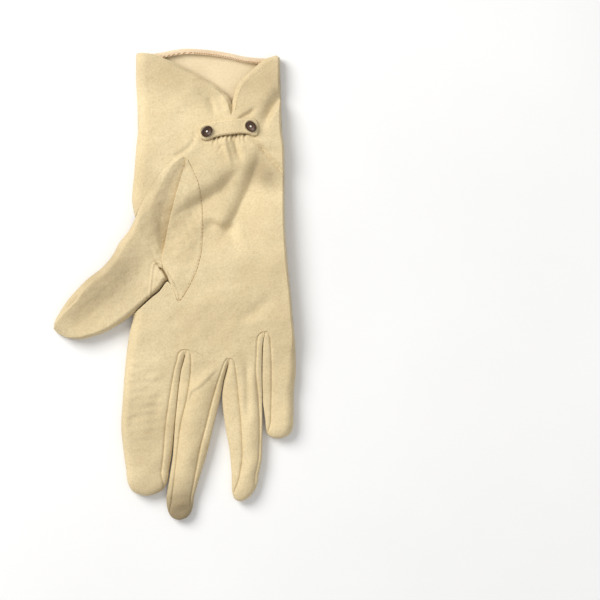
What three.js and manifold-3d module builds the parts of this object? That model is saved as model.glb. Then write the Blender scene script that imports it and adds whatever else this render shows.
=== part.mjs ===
// Dress glove of smooth faux leather, right hand, lying palm up with its fingers towards -Y.
// Units are millimetres, +Z is up. The back of the glove lies on z = 0 and the origin is under the
// middle of the outline. Every leather piece is a thin wall: one formula gives its outer face, the
// same formula with an inset gives its inner face, and the two are closed along the cut edges.

import * as THREE from "three";
import { mergeVertices } from "three/addons/utils/BufferGeometryUtils.js";
import Module from "manifold-3d";

// Driving sizes
const WALL = 1.0; // leather
const HEM_WALL = 1.8; // turned edge round the cuff
const HEM_WIDTH = 2.8;
const HEM_STEP = 0.35;
const SEAM_GAP = 0.3; // between pieces that are sewn together
const SEAM_SHIFT = 0.55; // how far a seam's inner edge leans away from its slot, for each mm of inset
const PALM_EDGE = { left: 6.0, right: 3.0 }; // widths over which the palm rounds down to its sides
const PALM_FALL = 0.1; // how much lower the palm is at its sides than on its crown, as a share
const FINGER_EDGE = 4.2;
const TIP_BLUNT = 0.25; // height left at the very tip, as a share
const TIP_POWER = 0.6; // below 1 the tips stay full for longer
const TIP_SHIFT = 0.3; // how far the inner face rounds ahead of the outer one, for each mm of inset
const EDGE_POWER = 1.8; // how closely the columns gather at a rounded side
const SIDE_LEVEL = 0.42; // height of the side fold, as a share of the crown
const WEB_SEAM = 0.9; // height of the seams at a crotch, as a share of the finger's crest
const FINGER_SEAM = 0.8; // the same further down the finger
const SEAM_FADE = [36, 60]; // the first turns into the second over this distance below the origin
const BACK_SEAM = 0.4; // how far the back's seams lie from the palm's seams towards the outline
const WEB_START = 0.78; // share of the palm's length at which the webs begin
const SLOT_START = 0.9; // the same for the slope of the slots' ends
const INDEX_MIDDLE = 22.5; // column on the middle of the index finger
const STRAP_LINE = 81; // y of the middle of the gathers
const PLEAT_DEPTH = 1.7;
const PLEAT_COLUMNS = [3, 5, 19, 21]; // the pleats start and end over these columns
const PLEAT_LEVELS = [62, 77, 84, 92]; // and over these levels
const STRAP_WALL = 1.1;
const STRAP_ROWS = 14;
const STRAP_COLUMNS = 4;
const FORK_COLUMNS = 4;
const FORK_DIP = 3.2; // how much lower the middle of a forked strip lies at the crotch
const FORK_DIP_POWER = 6; // how soon that fades along the fingers
const FORK_END_ANGLE = 46; // place of its points on the rounded fingertips, in degrees
const FORK_END = 0.3; // half height of those points
const CROTCH_GAP = 0.65; // gap at the crotch, measured down the slot, whose sides slope
const MITRE_LIMIT = 0.4;
const BUTTON_SIDES = 20;
const LIP_LEVEL = 1.2; // the thumb's hole is cut above this height
const HOLE_HEIGHT = 30;
const HOLE_SIDE = -30; // x of the hole's open side, past the hand's outline
const HOLE_MARGIN = 3; // how far the open side reaches past the hole's last rows
const HOLE_ROWS = 4; // rows of the thumb's tube that the hole still follows
const MERGE_DISTANCE = 1e-4;

// Side outlines of the hand and of its two outer fingers, with the height of the palm's crown
const HAND = [
  { y: 122, left: -19.9, right: 56.4, crown: 8.4 },
  { y: 109, left: -19.9, right: 56.4, crown: 9.2 },
  { y: 97, left: -19.3, right: 57.0, crown: 10.2 },
  { y: 84, left: -18.8, right: 57.2, crown: 11.6 },
  { y: 71, left: -19.9, right: 58.7, crown: 12.6 },
  { y: 58, left: -20.9, right: 58.8, crown: 13.2 },
  { y: 45, left: -22.0, right: 58.8, crown: 13.4 },
  { y: 38, left: -21.0, right: 58.9, crown: 13.4 },
  { y: 33, left: -19.8, right: 59.0, crown: 13.4 },
  { y: 13, left: -20.4, right: 60.3, crown: 13.0 },
  { y: -8, left: -21.0, right: 62.4, crown: 12.2 },
  { y: -16, left: -21.2, right: 63.0, crown: 11.6 },
  { y: -26, left: -23.4, right: 64.0, crown: 10.8 },
  { y: -35, left: -24.7, right: 64.6, crown: 10.2 },
  { y: -45, left: -25.8, right: 64.8, crown: 9.6 },
  { y: -60, left: -26.9, right: 63.6, crown: 9.2 },
  { y: -75, left: -27.8, right: 63.6, crown: 9.0 },
  { y: -90, left: -26.4, right: 63.6, crown: 8.8 },
  { y: -102, left: -24.6, right: 63.6, crown: 8.6 },
];

// Columns of the palm: 0 to 4 little finger, 4 to 12 ring, 12 to 20 middle, 20 to 25 index
const TOP_SLOTS = [4, 12, 20];
const TOP_COLUMNS = 25;
const BACK_SLOTS = [3, 6, 9];
const BACK_COLUMNS = 12;

// Where the three columns that end in a slot run down the palm
const COLUMNS = [
  { y: 122, little: 45.0, ring: 30.5, middle: 10.0 },
  { y: 89, little: 40.0, ring: 30.5, middle: 20.5 },
  { y: 81, little: 38.8, ring: 30.1, middle: 20.8 },
  { y: 75, little: 39.2, ring: 30.1, middle: 20.3 },
  { y: 64, little: 41.0, ring: 30.2, middle: 18.2 },
  { y: 45, little: 43.6, ring: 29.6, middle: 13.4 },
  { y: 0, little: 47.2, ring: 29.0, middle: 8.0 },
  { y: -25, little: 48.2, ring: 29.2, middle: 6.7 },
  { y: -40, little: 48.2, ring: 29.3, middle: 6.5 },
];

// Edge of the palm side at the cuff: both flaps and the V between them, by column
const RIM = [
  { column: 0, x: 56.4, y: 120.2 },
  { column: 2, x: 50.0, y: 118.0 },
  { column: 4, x: 44.2, y: 113.4 },
  { column: 6, x: 39.4, y: 109.2 },
  { column: 8, x: 35.4, y: 104.2 },
  { column: 10, x: 33.0, y: 97.0 },
  { column: 11, x: 32.0, y: 93.2 },
  { column: 12, x: 30.7, y: 89.4 },
  { column: 13, x: 29.7, y: 92.6 },
  { column: 14, x: 28.2, y: 97.2 },
  { column: 16, x: 22.6, y: 103.2 },
  { column: 18, x: 15.2, y: 107.7 },
  { column: 20, x: 6.6, y: 112.5 },
  { column: 22, x: -4.0, y: 117.5 },
  { column: 23.5, x: -11.8, y: 120.5 },
  { column: 25, x: -19.9, y: 122.0 },
];

// Edge of the back at the cuff, a low arch
const BACK_RIM = [
  { x: -19.9, y: 122.0 },
  { x: -12, y: 121.7 },
  { x: -4, y: 123.2 },
  { x: 6, y: 125.0 },
  { x: 16, y: 124.5 },
  { x: 28, y: 122.9 },
  { x: 40, y: 120.2 },
  { x: 49, y: 119.3 },
  { x: 56.4, y: 120.2 },
];

// Level of the crotches, by column
const CROTCH = [
  { column: 0, y: -26 },
  { column: 4, y: -24.8 },
  { column: 8, y: -33 },
  { column: 12, y: -39.1 },
  { column: 16, y: -38.5 },
  { column: 20, y: -34.3 },
  { column: 25, y: -35 },
];

// Each finger: outline and seams of its palm side at a few stations, and its rounded tip
const FINGERS = {
  little: {
    tip: { round: -73.0, end: -81.8, x: 54.4, blunt: 0.5 },
    stations: [
      { y: -25, left: 48.2, seamLeft: 48.6, seamRight: 64, right: 64, high: 10.0 },
      { y: -30, left: 47.9, seamLeft: 51.2, seamRight: 64, right: 64, high: 9.6 },
      { y: -45, left: 47.3, seamLeft: 52.0, seamRight: 64, right: 64, high: 9.0 },
      { y: -60, left: 47.5, seamLeft: 51.9, seamRight: 64, right: 63.6, high: 8.6 },
      { y: -73, left: 47.9, seamLeft: 51.2, seamRight: 64, right: 63.6, high: 8.2 },
    ],
  },
  ring: {
    tip: { round: -105.0, end: -115.0, x: 35.8, blunt: 0.3 },
    stations: [
      { y: -25, left: 27, seamLeft: 31.0, seamRight: 47.6, right: 47.8, high: 10.2 },
      { y: -32, left: 28.5, seamLeft: 31.0, seamRight: 44.3, right: 46.9, high: 10.0 },
      { y: -45, left: 29.6, seamLeft: 32.9, seamRight: 43.7, right: 46.5, high: 9.4 },
      { y: -60, left: 26.0, seamLeft: 34.6, seamRight: 45.0, right: 46.8, high: 9.0 },
      { y: -75, left: 27.4, seamLeft: 36.0, seamRight: 45.7, right: 47.0, high: 8.8 },
      { y: -90, left: 29.9, seamLeft: 36.6, seamRight: 45.4, right: 46.9, high: 8.6 },
      { y: -105, left: 31.1, seamLeft: 34.4, seamRight: 42.4, right: 44.3, high: 8.2 },
    ],
  },
  middle: {
    tip: { round: -113.0, end: -125.0, x: 3.0, blunt: 0.3 },
    stations: [
      { y: -34, left: 6.4, seamLeft: 7.0, seamRight: 29.0, right: 29.4, high: 10.2 },
      { y: -40, left: 5.6, seamLeft: 9.3, seamRight: 28.2, right: 28.9, high: 10.0 },
      { y: -45, left: 4.3, seamLeft: 9.3, seamRight: 25.8, right: 27.9, high: 9.8 },
      { y: -60, left: 2.4, seamLeft: 7.2, seamRight: 21.0, right: 24.6, high: 9.4 },
      { y: -75, left: 0.9, seamLeft: 3.8, seamRight: 17.2, right: 21.2, high: 9.2 },
      { y: -90, left: -0.4, seamLeft: 1.9, seamRight: 13.5, right: 17.6, high: 9.0 },
      { y: -101, left: -2.0, seamLeft: 0.7, seamRight: 11.5, right: 14.2, high: 8.8 },
      { y: -113, left: -3.9, seamLeft: -0.8, seamRight: 9.6, right: 11.4, high: 8.4 },
    ],
  },
  index: {
    tip: { round: -101.0, end: -112.2, x: -13.4, blunt: 0.35 },
    stations: [
      { y: -34, left: -25, seamLeft: -25, seamRight: 5.8, right: 6.2, high: 10.2 },
      { y: -40, left: -25, seamLeft: -25, seamRight: 2.2, right: 5.0, high: 10.0 },
      { y: -45, left: -26, seamLeft: -25, seamRight: 0.6, right: 3.7, high: 9.8 },
      { y: -60, left: -27, seamLeft: -25, seamRight: -2.0, right: 1.8, high: 9.4 },
      { y: -75, left: -27.8, seamLeft: -25, seamRight: -4.1, right: 0.3, high: 9.2 },
      { y: -90, left: -26.4, seamLeft: -25, seamRight: -5.3, right: -1.0, high: 9.0 },
      { y: -101, left: -24.8, seamLeft: -25, seamRight: -6.6, right: -2.9, high: 8.6 },
    ],
  },
};

// Folds and dents of the palm side. Each follows a path and falls off over its own width on either side
// of it. A power below 2 makes its right side steepest along the path.
const FOLD_POWER = 2;
const FOLD_FADE = 0.32; // share of a path over which its fold fades in, and out again
const FOLDS = [
  { path: [[47.5, 76], [45.2, 67], [41.9, 57.2], [39.7, 50.4], [36.2, 43], [33.4, 36.7], [26.4, 24]],
    left: 13, right: 3.6, rise: -3.0, power: 1.5 },
  { path: [[38, 63], [33, 57.4], [25.2, 48.9], [17.2, 44.7], [9.5, 40.2], [1, 36]],
    left: 9, right: 3.6, rise: -2.2, power: 1.5 },
  { path: [[31, 38], [28, 34], [24, 31.5], [20, 30]], left: 3.4, right: 4, rise: -1.0 },
  { path: [[54, -6], [43, -14.5], [32, -20.6]], left: 3.8, right: 3.8, rise: -0.9 },
  { path: [[44, 72], [50, 64], [56.5, 57]], left: 4, right: 4, rise: -1.1 },
  { path: [[61.5, 106], [59.5, 102.6], [56, 97.8], [52.4, 92.6], [49.3, 87], [47.8, 81]],
    left: 1.8, right: 3.4, rise: -2.6 },
  { path: [[54, 107], [49, 99], [45, 92]], left: 3.2, right: 4, rise: 0.7 },
  { path: [[-10, 111], [8, 104], [20, 92], [22.9, 86]], left: 4.5, right: 4.5, rise: 0.8 },
  { path: [[26, 79], [28.5, 70], [31.5, 62]], left: 2, right: 1.6, rise: 1.0 },
  { path: [[31.8, 79], [34.2, 69.5], [37.4, 63]], left: 2, right: 2, rise: -1.2 },
  { path: [[25, -42.6], [17.7, -50.2], [9.6, -56.3], [6.3, -64.8]], left: 2, right: 3.2, rise: 0.8 },
  { path: [[38.4, -36], [39.2, -50], [39.6, -76]], left: 2.6, right: 2.6, rise: -1.2 },
];

// How far the flaps of the cuff droop towards the V between them
const SAG = { x: 31, wide: 16, deep: 1.8, start: 86, full: 104 };

// Thumb: its rows run from the top of its seam on the palm to its tip. Each row spans from the outer
// edge (ax, ay) to the inner edge (bx, by). The rolled part takes the share roll of it, is high mm at
// its crest and slopes down to the valley, and the panel that is left ends at the palm's seam.
const THUMB = [
  { ax: 4.6, ay: 67.6, bx: 7.9, by: 65.8, roll: 0.55, high: 13.0, valley: 12.4 },
  { ax: 1.6, ay: 66.8, bx: 11.3, by: 58.6, roll: 0.47, high: 13.2, valley: 11.2 },
  { ax: -1.2, ay: 65.0, bx: 13.8, by: 52.1, roll: 0.38, high: 13.3, valley: 10.4 },
  { ax: -4.2, ay: 62.2, bx: 15.2, by: 42.0, roll: 0.36, high: 13.3, valley: 9.8 },
  { ax: -7.0, ay: 58.6, bx: 15.7, by: 31.0, roll: 0.345, high: 13.3, valley: 9.5 },
  { ax: -9.7, ay: 54.5, bx: 15.3, by: 19.8, roll: 0.35, high: 13.3, valley: 9.4 },
  { ax: -12.3, ay: 50.6, bx: 13.5, by: 10.2, roll: 0.37, high: 13.3, valley: 9.4 },
  { ax: -14.6, ay: 46.8, bx: 9.3, by: 0.2, roll: 0.43, high: 13.4, valley: 9.4 },
  { ax: -16.6, ay: 43.0, bx: 2.9, by: -9.2, roll: 0.55, high: 13.6, valley: 11.4 },
  { ax: -18.8, ay: 38.6, bx: 0.4, by: -3.2, roll: 0.67, high: 14.0, valley: 11.6 },
  { ax: -20.7, ay: 34.2, bx: -1.4, by: 0.2, roll: 0.765, high: 14.4, valley: 10.7 },
  { ax: -24.0, ay: 28.0, bx: -3.2, by: 1.5, roll: 1, high: 14.4, valley: 0 },
  { ax: -28.6, ay: 22.2, bx: -7.2, by: -3.6, roll: 1, high: 14.0, valley: 0 },
  { ax: -32.6, ay: 15.0, bx: -11.4, by: -7.0, roll: 1, high: 13.4, valley: 0 },
  { ax: -38.4, ay: 8.4, bx: -21.5, by: -15.9, roll: 1, high: 12.4, valley: 0 },
  { ax: -45.3, ay: 3.1, bx: -28.9, by: -21.3, roll: 1, high: 11.4, valley: 0 },
  { ax: -51.7, ay: -3.3, bx: -36.3, by: -25.3, roll: 1, high: 10.6, valley: 0 },
  { ax: -57.0, ay: -9.6, bx: -43.2, by: -27.8, roll: 1, high: 9.8, valley: 0 },
  { ax: -60.4, ay: -14.9, bx: -49.6, by: -29.2, roll: 1, high: 8.8, valley: 0 },
  { ax: -63.0, ay: -19.5, bx: -55.4, by: -28.8, roll: 1, high: 7.2, valley: 0 },
  { ax: -63.9, ay: -23.4, bx: -61.2, by: -26.4, roll: 1, high: 3.4, valley: 0 },
];
const THUMB_COLUMNS = 10;
const THUMB_UNDER_COLUMNS = 6;
const THUMB_ROUND = 0.46; // share of the underside's width that rounds up to each side
const THUMB_EDGES = { outer: 0.16, inner: 0.3 }; // shares of the width that round down to each side
const THUMB_CREST = 0.32; // place of the crest across the rolled part
const PANEL_EDGE = 0.2; // share of the panel that rises steeply from the valley
// The long dent down the thumb: its rows, its place and half width across the thumb, and its depth
const THUMB_DENT = { start: 10, full: 12, fade: 16, end: 19, place: 0.6, wide: 0.24, deep: 2.2 };
const THUMB_SUNK = 4.0; // how far the inner edge dips below the palm as it turns into the crotch
const SUNK_ROWS = 3; // rows over which it does so
const THUMB_LIFT = 2.0; // the underside rises by this where it crosses the back's lip
const LIFT_START = -29; // x where the rise starts, and where it is full
const LIFT_END = -22.5;
const LIFT_LEVEL = -12; // y above which it is full
const LIFT_FADE = 3.5;
const THUMB_SIDE_ROW = 10; // from this row on the outer edge is a rounded side, not a seam
const THUMB_TUBE_ROW = 11; // from this row on the thumb is a closed tube

// Strap over the gathers: upper and lower edge along its length
const STRAP = [
  { x: 13.9, high: 80.6, low: 79.0 },
  { x: 14.8, high: 83.6, low: 76.6 },
  { x: 17.4, high: 84.9, low: 76.2 },
  { x: 21.5, high: 86.1, low: 77.8 },
  { x: 26.0, high: 86.6, low: 78.8 },
  { x: 31.0, high: 87.0, low: 79.4 },
  { x: 36.0, high: 87.5, low: 79.9 },
  { x: 40.0, high: 87.8, low: 79.6 },
  { x: 42.6, high: 87.5, low: 78.6 },
  { x: 44.2, high: 86.2, low: 78.8 },
  { x: 45.0, high: 84.2, low: 81.0 },
];
const BUTTONS = [
  { name: "button_left", x: 17.8, y: 80.8, turn: 40 },
  { name: "button_right", x: 41.2, y: 83.5, turn: -40 },
];
const BUTTON_OVAL = [1.1, 0.88]; // the buttons are oval by these factors, turned by degrees
const BUTTON_PROFILE = [
  { r: 0, z: 0 },
  { r: 2.45, z: 0 },
  { r: 2.95, z: 0.5 },
  { r: 2.95, z: 1.2 },
  { r: 2.6, z: 1.75 },
  { r: 2.2, z: 1.7 },
  { r: 1.6, z: 1.1 },
  { r: 0.95, z: 1.0 },
  { r: 0.8, z: 1.4 },
  { r: 0.4, z: 1.7 },
  { r: 0, z: 1.8 },
];

// Rows, as shares of each stretch
const CUFF_ROWS = [0.2, 0.42, 0.64, 0.84];
const PALM_ROWS = [0, 0.03, 0.065, 0.1, 0.14, 0.18, 0.22, 0.26, 0.3, 0.34, 0.38, 0.42, 0.46, 0.5, 0.56, 0.62,
  0.68, 0.74, 0.8, 0.86, 0.93, 1];
const FINGER_ROWS = [0.06, 0.15, 0.3, 0.48, 0.66, 0.84, 1];
const TIP_ANGLES = [28, 52, 72, 90];

const lerp = THREE.MathUtils.lerp;
const clamp = THREE.MathUtils.clamp;
const smooth = THREE.MathUtils.smoothstep;

// Reads one column of a table at a place between its rows, on a smooth curve that never overshoots
function read(table, key, column, at) {
  const sign = table[0][key] < table[table.length - 1][key] ? 1 : -1;
  let i = 0;
  while (i < table.length - 2 && sign * table[i + 1][key] < sign * at) i += 1;
  const slope = (k) => {
    if (k < 0 || k > table.length - 2) return null;
    return (table[k + 1][column] - table[k][column]) / (table[k + 1][key] - table[k][key]);
  };
  const here = slope(i);
  const tangent = (before, after) => {
    if (before === null) return after;
    if (after === null) return before;
    if (before * after <= 0) return 0;
    return (2 * before * after) / (before + after);
  };
  const width = table[i + 1][key] - table[i][key];
  const t = clamp((at - table[i][key]) / width, 0, 1);
  const m0 = tangent(slope(i - 1), here) * width;
  const m1 = tangent(here, slope(i + 1)) * width;
  const a = table[i][column];
  const b = table[i + 1][column];
  const t2 = t * t;
  const t3 = t2 * t;
  return (2 * t3 - 3 * t2 + 1) * a + (t3 - 2 * t2 + t) * m0 + (3 * t2 - 2 * t3) * b + (t3 - t2) * m1;
}

const handSide = (side, y) => read(HAND, "y", side, y);
const rounded = (distance, edge) => {
  const t = clamp(distance / edge, 0, 1);
  return Math.sqrt(1 - (1 - t) * (1 - t));
};

// Signed distance of a point from a path, positive on its left, and the share of the path behind it
function pathDistance(path, x, y) {
  let best = { away: Infinity, signed: 0, behind: 0 };
  let length = 0;
  for (let i = 0; i < path.length - 1; i += 1) {
    const [[x0, y0], [x1, y1]] = [path[i], path[i + 1]];
    const span = Math.hypot(x1 - x0, y1 - y0);
    const [dx, dy] = [(x1 - x0) / span, (y1 - y0) / span];
    const along = clamp((x - x0) * dx + (y - y0) * dy, 0, span);
    const away = Math.hypot(x - x0 - along * dx, y - y0 - along * dy);
    const side = Math.sign(dx * (y - y0) - dy * (x - x0));
    if (away < best.away) best = { away, signed: side * away, behind: length + along };
    length += span;
  }
  return { signed: best.signed, share: best.behind / length };
}

// Height that the folds add at a point of the palm side
function foldRise(x, y) {
  let rise = 0;
  for (const fold of FOLDS) {
    const { signed, share } = pathDistance(fold.path, x, y);
    const onLeft = signed > 0;
    const far = Math.abs(signed) / (onLeft ? fold.left : fold.right);
    const power = onLeft ? FOLD_POWER : fold.power ?? FOLD_POWER;
    const taper = smooth(share, 0, FOLD_FADE) * (1 - smooth(share, 1 - FOLD_FADE, 1));
    rise += fold.rise * taper * Math.exp(-(far ** power));
  }
  return rise;
}

// Pleats under the strap: ridges at the even columns, valleys at the odd ones
function pleatRise(column, y) {
  const [first, full, fade, last] = PLEAT_COLUMNS;
  const [bottom, low, high, top] = PLEAT_LEVELS;
  const across = smooth(column, first, full) * (1 - smooth(column, fade, last));
  const along = smooth(y, bottom, low) * (1 - smooth(y, high, top));
  return -PLEAT_DEPTH * across * along * (0.5 - 0.5 * Math.cos(Math.PI * column));
}

// Plan x of a column that runs down the palm. Near both sides the columns gather towards the edge.
function columnX(column, y, inset, slots, last) {
  const left = handSide("left", y) + inset;
  const right = handSide("right", y) - inset;
  const xs = ["little", "ring", "middle"].map((name) => read(COLUMNS, "y", name, y));
  if (column <= slots[0]) return right - (right - xs[0]) * (column / slots[0]) ** EDGE_POWER;
  if (column >= slots[2]) {
    return left + (xs[2] - left) * ((last - column) / (last - slots[2])) ** EDGE_POWER;
  }
  const k = column <= slots[1] ? 0 : 1;
  return lerp(xs[k], xs[k + 1], (column - slots[k]) / (slots[k + 1] - slots[k]));
}

// The finger that a column belongs to, and where across it the column lies, from -1 to 1
const STRIPS = [
  { name: "little", k: 0, seams: [false, true] },
  { name: "ring", k: 1, seams: [true, true] },
  { name: "middle", k: 2, seams: [true, true] },
  { name: "index", k: 3, seams: [true, false] },
];
const stripRange = (strip, slots, last) => [
  strip.k === 0 ? 0 : slots[strip.k - 1],
  strip.k === 3 ? last : slots[strip.k],
];

// Outline, seams and heights of a finger at a level. Past its round level the outline is an arc.
function fingerAt(name, y) {
  const finger = FINGERS[name];
  const at = Math.max(y, finger.tip.round);
  const row = {};
  for (const column of ["left", "right", "seamLeft", "seamRight", "high"]) {
    row[column] = read(finger.stations, "y", column, at);
  }
  if (name === "index") row.left = handSide("left", at);
  if (name === "little") row.right = handSide("right", at);
  row.seam = lerp(WEB_SEAM, FINGER_SEAM, smooth(-at, ...SEAM_FADE)) * row.high;
  row.side = SIDE_LEVEL * row.high;
  return row;
}

// Half width, middle and height of the tip zone at an angle from its start (0) to its end (90)
function tipAt(name, degrees, inset) {
  const { tip } = FINGERS[name];
  const base = fingerAt(name, tip.round);
  const angle = THREE.MathUtils.degToRad(degrees);
  const half = (base.right - base.left) / 2 - inset;
  const middle = (base.right + base.left) / 2;
  const share = Math.sin(angle);
  const rise = Math.max(Math.cos(angle) ** TIP_POWER, TIP_BLUNT);
  return {
    y: tip.round + (tip.end + inset - tip.round) * share,
    middle: lerp(middle, tip.x, share * share),
    half: half * (1 - (1 - tip.blunt) * (1 - Math.cos(angle))),
    top: lerp(base.side, base.high - inset, rise),
    bottom: lerp(base.side, inset, rise),
    base,
  };
}

// Height of the palm side over the hand, and of the back, at a column and level
function handHeight(top, column, x, y, blend, inset) {
  const left = handSide("left", y) + inset;
  const right = handSide("right", y) - inset;
  const crown = handSide("crown", y);
  const side = SIDE_LEVEL * crown;
  const fromLeft = (x - left) / (PALM_EDGE.left - inset);
  const fromRight = (right - x) / (PALM_EDGE.right - inset);
  const round = rounded(Math.min(fromLeft, fromRight), 1);
  if (!top) return lerp(side, inset, round);
  const across = (x - (left + right) / 2) / ((right - left) / 2);
  const palm = crown * (1 - PALM_FALL * across * across);
  const web = crown * (1 - (1 - WEB_SEAM) * crossing(column) ** 2);
  const full = lerp(palm, web, blend) + foldRise(x, y) + pleatRise(column, y);
  return lerp(side, full - inset, round);
}

// Place across a finger, -1 and 1 at its seams and 0 on its middle and on a plain rounded side
function crossing(column) {
  const [little, ring, middle] = TOP_SLOTS;
  const between = (from, to) => (2 * column - from - to) / (to - from);
  if (column <= little) return Math.max(0, between(0, little));
  if (column <= ring) return between(little, ring);
  if (column <= middle) return between(ring, middle);
  return Math.max(0, (INDEX_MIDDLE - column) / (INDEX_MIDDLE - middle));
}

// Edge of the cuff at a column of the palm side or of the back
function cuffEdge(top, column) {
  if (top) return { x: read(RIM, "column", "x", column), y: read(RIM, "column", "y", column) };
  const x = columnX(column, HAND[0].y, 0, BACK_SLOTS, BACK_COLUMNS);
  return { x, y: read(BACK_RIM, "x", "y", x) };
}

function cuffSag(x, y) {
  return SAG.deep * Math.exp(-(((x - SAG.x) / SAG.wide) ** 2)) * smooth(y, SAG.start, SAG.full);
}

// A vertex of the hand between the edge of the cuff and the strap's line
function cuffPoint(top, column, row, inset) {
  const last = top ? TOP_COLUMNS : BACK_COLUMNS;
  const edge = cuffEdge(top, column);
  const length = edge.y - STRAP_LINE;
  const hem = (HEM_WIDTH + HEM_STEP) / length;
  const share = row.drop === undefined ? lerp(hem, 1, row.share) : row.drop / length;
  const y = lerp(edge.y, STRAP_LINE, share);
  const slots = top ? TOP_SLOTS : BACK_SLOTS;
  const low = columnX(column, STRAP_LINE, 0, slots, last);
  const right = handSide("right", y);
  const left = handSide("left", y);
  let x = lerp(edge.x, low, share);
  if (column === 0) x = right;
  if (column === last) x = left;
  const middle = (left + right) / 2;
  const inner = middle + (x - middle) * (1 - (2 * inset) / (right - left));
  const palmColumn = top ? column : spread(column);
  const height = handHeight(top, palmColumn, inner, y, 0, inset);
  return new THREE.Vector3(inner, y, top ? height - cuffSag(inner, y) : height);
}

// A vertex of the hand between the strap's line and the crotches
function palmPoint(top, column, share, inset) {
  const slots = top ? TOP_SLOTS : BACK_SLOTS;
  const last = top ? TOP_COLUMNS : BACK_COLUMNS;
  const palmColumn = top ? column : spread(column);
  const slot = slots.includes(column) ? smooth(share, SLOT_START, 1) : 0;
  const end = read(CROTCH, "column", "y", palmColumn) + slot * (SEAM_GAP + SEAM_SHIFT * inset);
  const y = lerp(STRAP_LINE, end, share);
  const x = columnX(column, y, inset, slots, last);
  const web = smooth(share, WEB_START, 1);
  return new THREE.Vector3(x, y, handHeight(top, palmColumn, x, y, web, inset));
}

// Column of the palm that lies over a column of the back
function spread(column) {
  const marks = [
    { back: 0, palm: 0 },
    { back: 3, palm: 4 },
    { back: 6, palm: 12 },
    { back: 9, palm: 20 },
    { back: 12, palm: 25 },
  ];
  return read(marks, "back", "palm", column);
}

// A point on the seam between a finger's strip and the forked strip beside it
function seamPoint(name, side, top, y, inset) {
  const row = fingerAt(name, y);
  const seam = side > 0 ? row.seamRight : row.seamLeft;
  const outline = side > 0 ? row.right : row.left;
  const x = top ? seam : lerp(seam, outline, BACK_SEAM);
  const z = top ? row.seam - inset : inset;
  return new THREE.Vector3(x - side * SEAM_SHIFT * inset, y, z);
}

// A vertex of a finger's strip below the crotches
function fingerPoint(strip, top, column, row, inset) {
  const slots = top ? TOP_SLOTS : BACK_SLOTS;
  const last = top ? TOP_COLUMNS : BACK_COLUMNS;
  const [from, to] = stripRange(strip, slots, last);
  const across = (column - from) / (to - from); // 0 at the right, 1 at the left
  const { tip } = FINGERS[strip.name];
  if (row > FINGER_ROWS.length) {
    const end = tipAt(strip.name, TIP_ANGLES[row - FINGER_ROWS.length], inset);
    const lateral = 1 - 2 * across;
    const arch = Math.sqrt(Math.max(0, 1 - Math.abs(lateral) ** 3));
    const z = lerp(end.base.side, top ? end.top : end.bottom, arch);
    return new THREE.Vector3(end.middle + lateral * end.half, end.y, z);
  }
  const tipRow = row === FINGER_ROWS.length;
  const start = read(CROTCH, "column", "y", top ? column : spread(column));
  const round = tip.round - inset * TIP_SHIFT;
  const y = tipRow ? tipAt(strip.name, TIP_ANGLES[0], inset).y : lerp(start, round, FINGER_ROWS[row]);
  const shape = fingerAt(strip.name, y);
  const shrink = tipRow ? tipAt(strip.name, TIP_ANGLES[0], 0).half / tipAt(strip.name, 0, 0).half : 1;
  const centre = (shape.left + shape.right) / 2;
  const drift = tipRow ? tipAt(strip.name, TIP_ANGLES[0], 0).middle - centre : 0;
  const squeeze = (x) => centre + drift + (x - centre) * shrink;
  const gap = SEAM_GAP / 2;
  const left = strip.seams[1]
    ? squeeze(seamPoint(strip.name, -1, top, y, inset).x) + gap : squeeze(shape.left) + inset;
  const right = strip.seams[0]
    ? squeeze(seamPoint(strip.name, 1, top, y, inset).x) - gap : squeeze(shape.right) - inset;
  let t = across;
  if (!strip.seams[0]) t = across ** EDGE_POWER;
  if (!strip.seams[1]) t = 1 - (1 - across) ** EDGE_POWER;
  const x = lerp(right, left, t);
  const edges = [];
  if (!strip.seams[0]) edges.push(right - x);
  if (!strip.seams[1]) edges.push(x - left);
  const palmColumn = top ? column : spread(column);
  const crest = shape.high - (shape.high - shape.seam) * crossing(palmColumn) ** 2 - inset;
  const full = top ? crest + foldRise(x, y) : inset;
  const arch = edges.length ? rounded(edges[0], FINGER_EDGE) : 1;
  return new THREE.Vector3(x, y, lerp(shape.side, full, arch));
}

// Collects a sheet's vertices and faces, and closes it into a solid wall between its two faces
class Sheet {
  constructor() {
    this.ids = new Map();
    this.outer = [];
    this.inner = [];
    this.faces = [];
  }

  vertex(key, make) {
    if (!this.ids.has(key)) {
      this.ids.set(key, this.outer.length);
      this.outer.push(make(false));
      this.inner.push(make(true));
    }
    return this.ids.get(key);
  }

  quad(a, b, c, d) {
    const span = (i, j) => this.outer[i].distanceTo(this.outer[j]);
    if (span(a, c) <= span(b, d)) {
      this.triangle(a, b, c);
      this.triangle(a, c, d);
    } else {
      this.triangle(a, b, d);
      this.triangle(b, c, d);
    }
  }

  triangle(a, b, c) {
    if (a !== b && b !== c && a !== c) this.faces.push([a, b, c]);
  }

  solid() {
    const count = this.outer.length;
    const rims = new Map();
    const index = [];
    for (const [a, b, c] of this.faces) {
      index.push(a, b, c, count + a, count + c, count + b);
      for (const [from, to] of [[a, b], [b, c], [c, a]]) {
        if (rims.has(`${to} ${from}`)) rims.delete(`${to} ${from}`);
        else rims.set(`${from} ${to}`, [from, to]);
      }
    }
    for (const [from, to] of rims.values()) {
      index.push(to, from, count + from, to, count + from, count + to);
    }
    const points = [...this.outer, ...this.inner].flatMap((p) => [p.x, p.y, p.z]);
    const geometry = new THREE.BufferGeometry();
    geometry.setAttribute("position", new THREE.Float32BufferAttribute(points, 3));
    geometry.setIndex(index);
    return geometry;
  }
}

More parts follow.
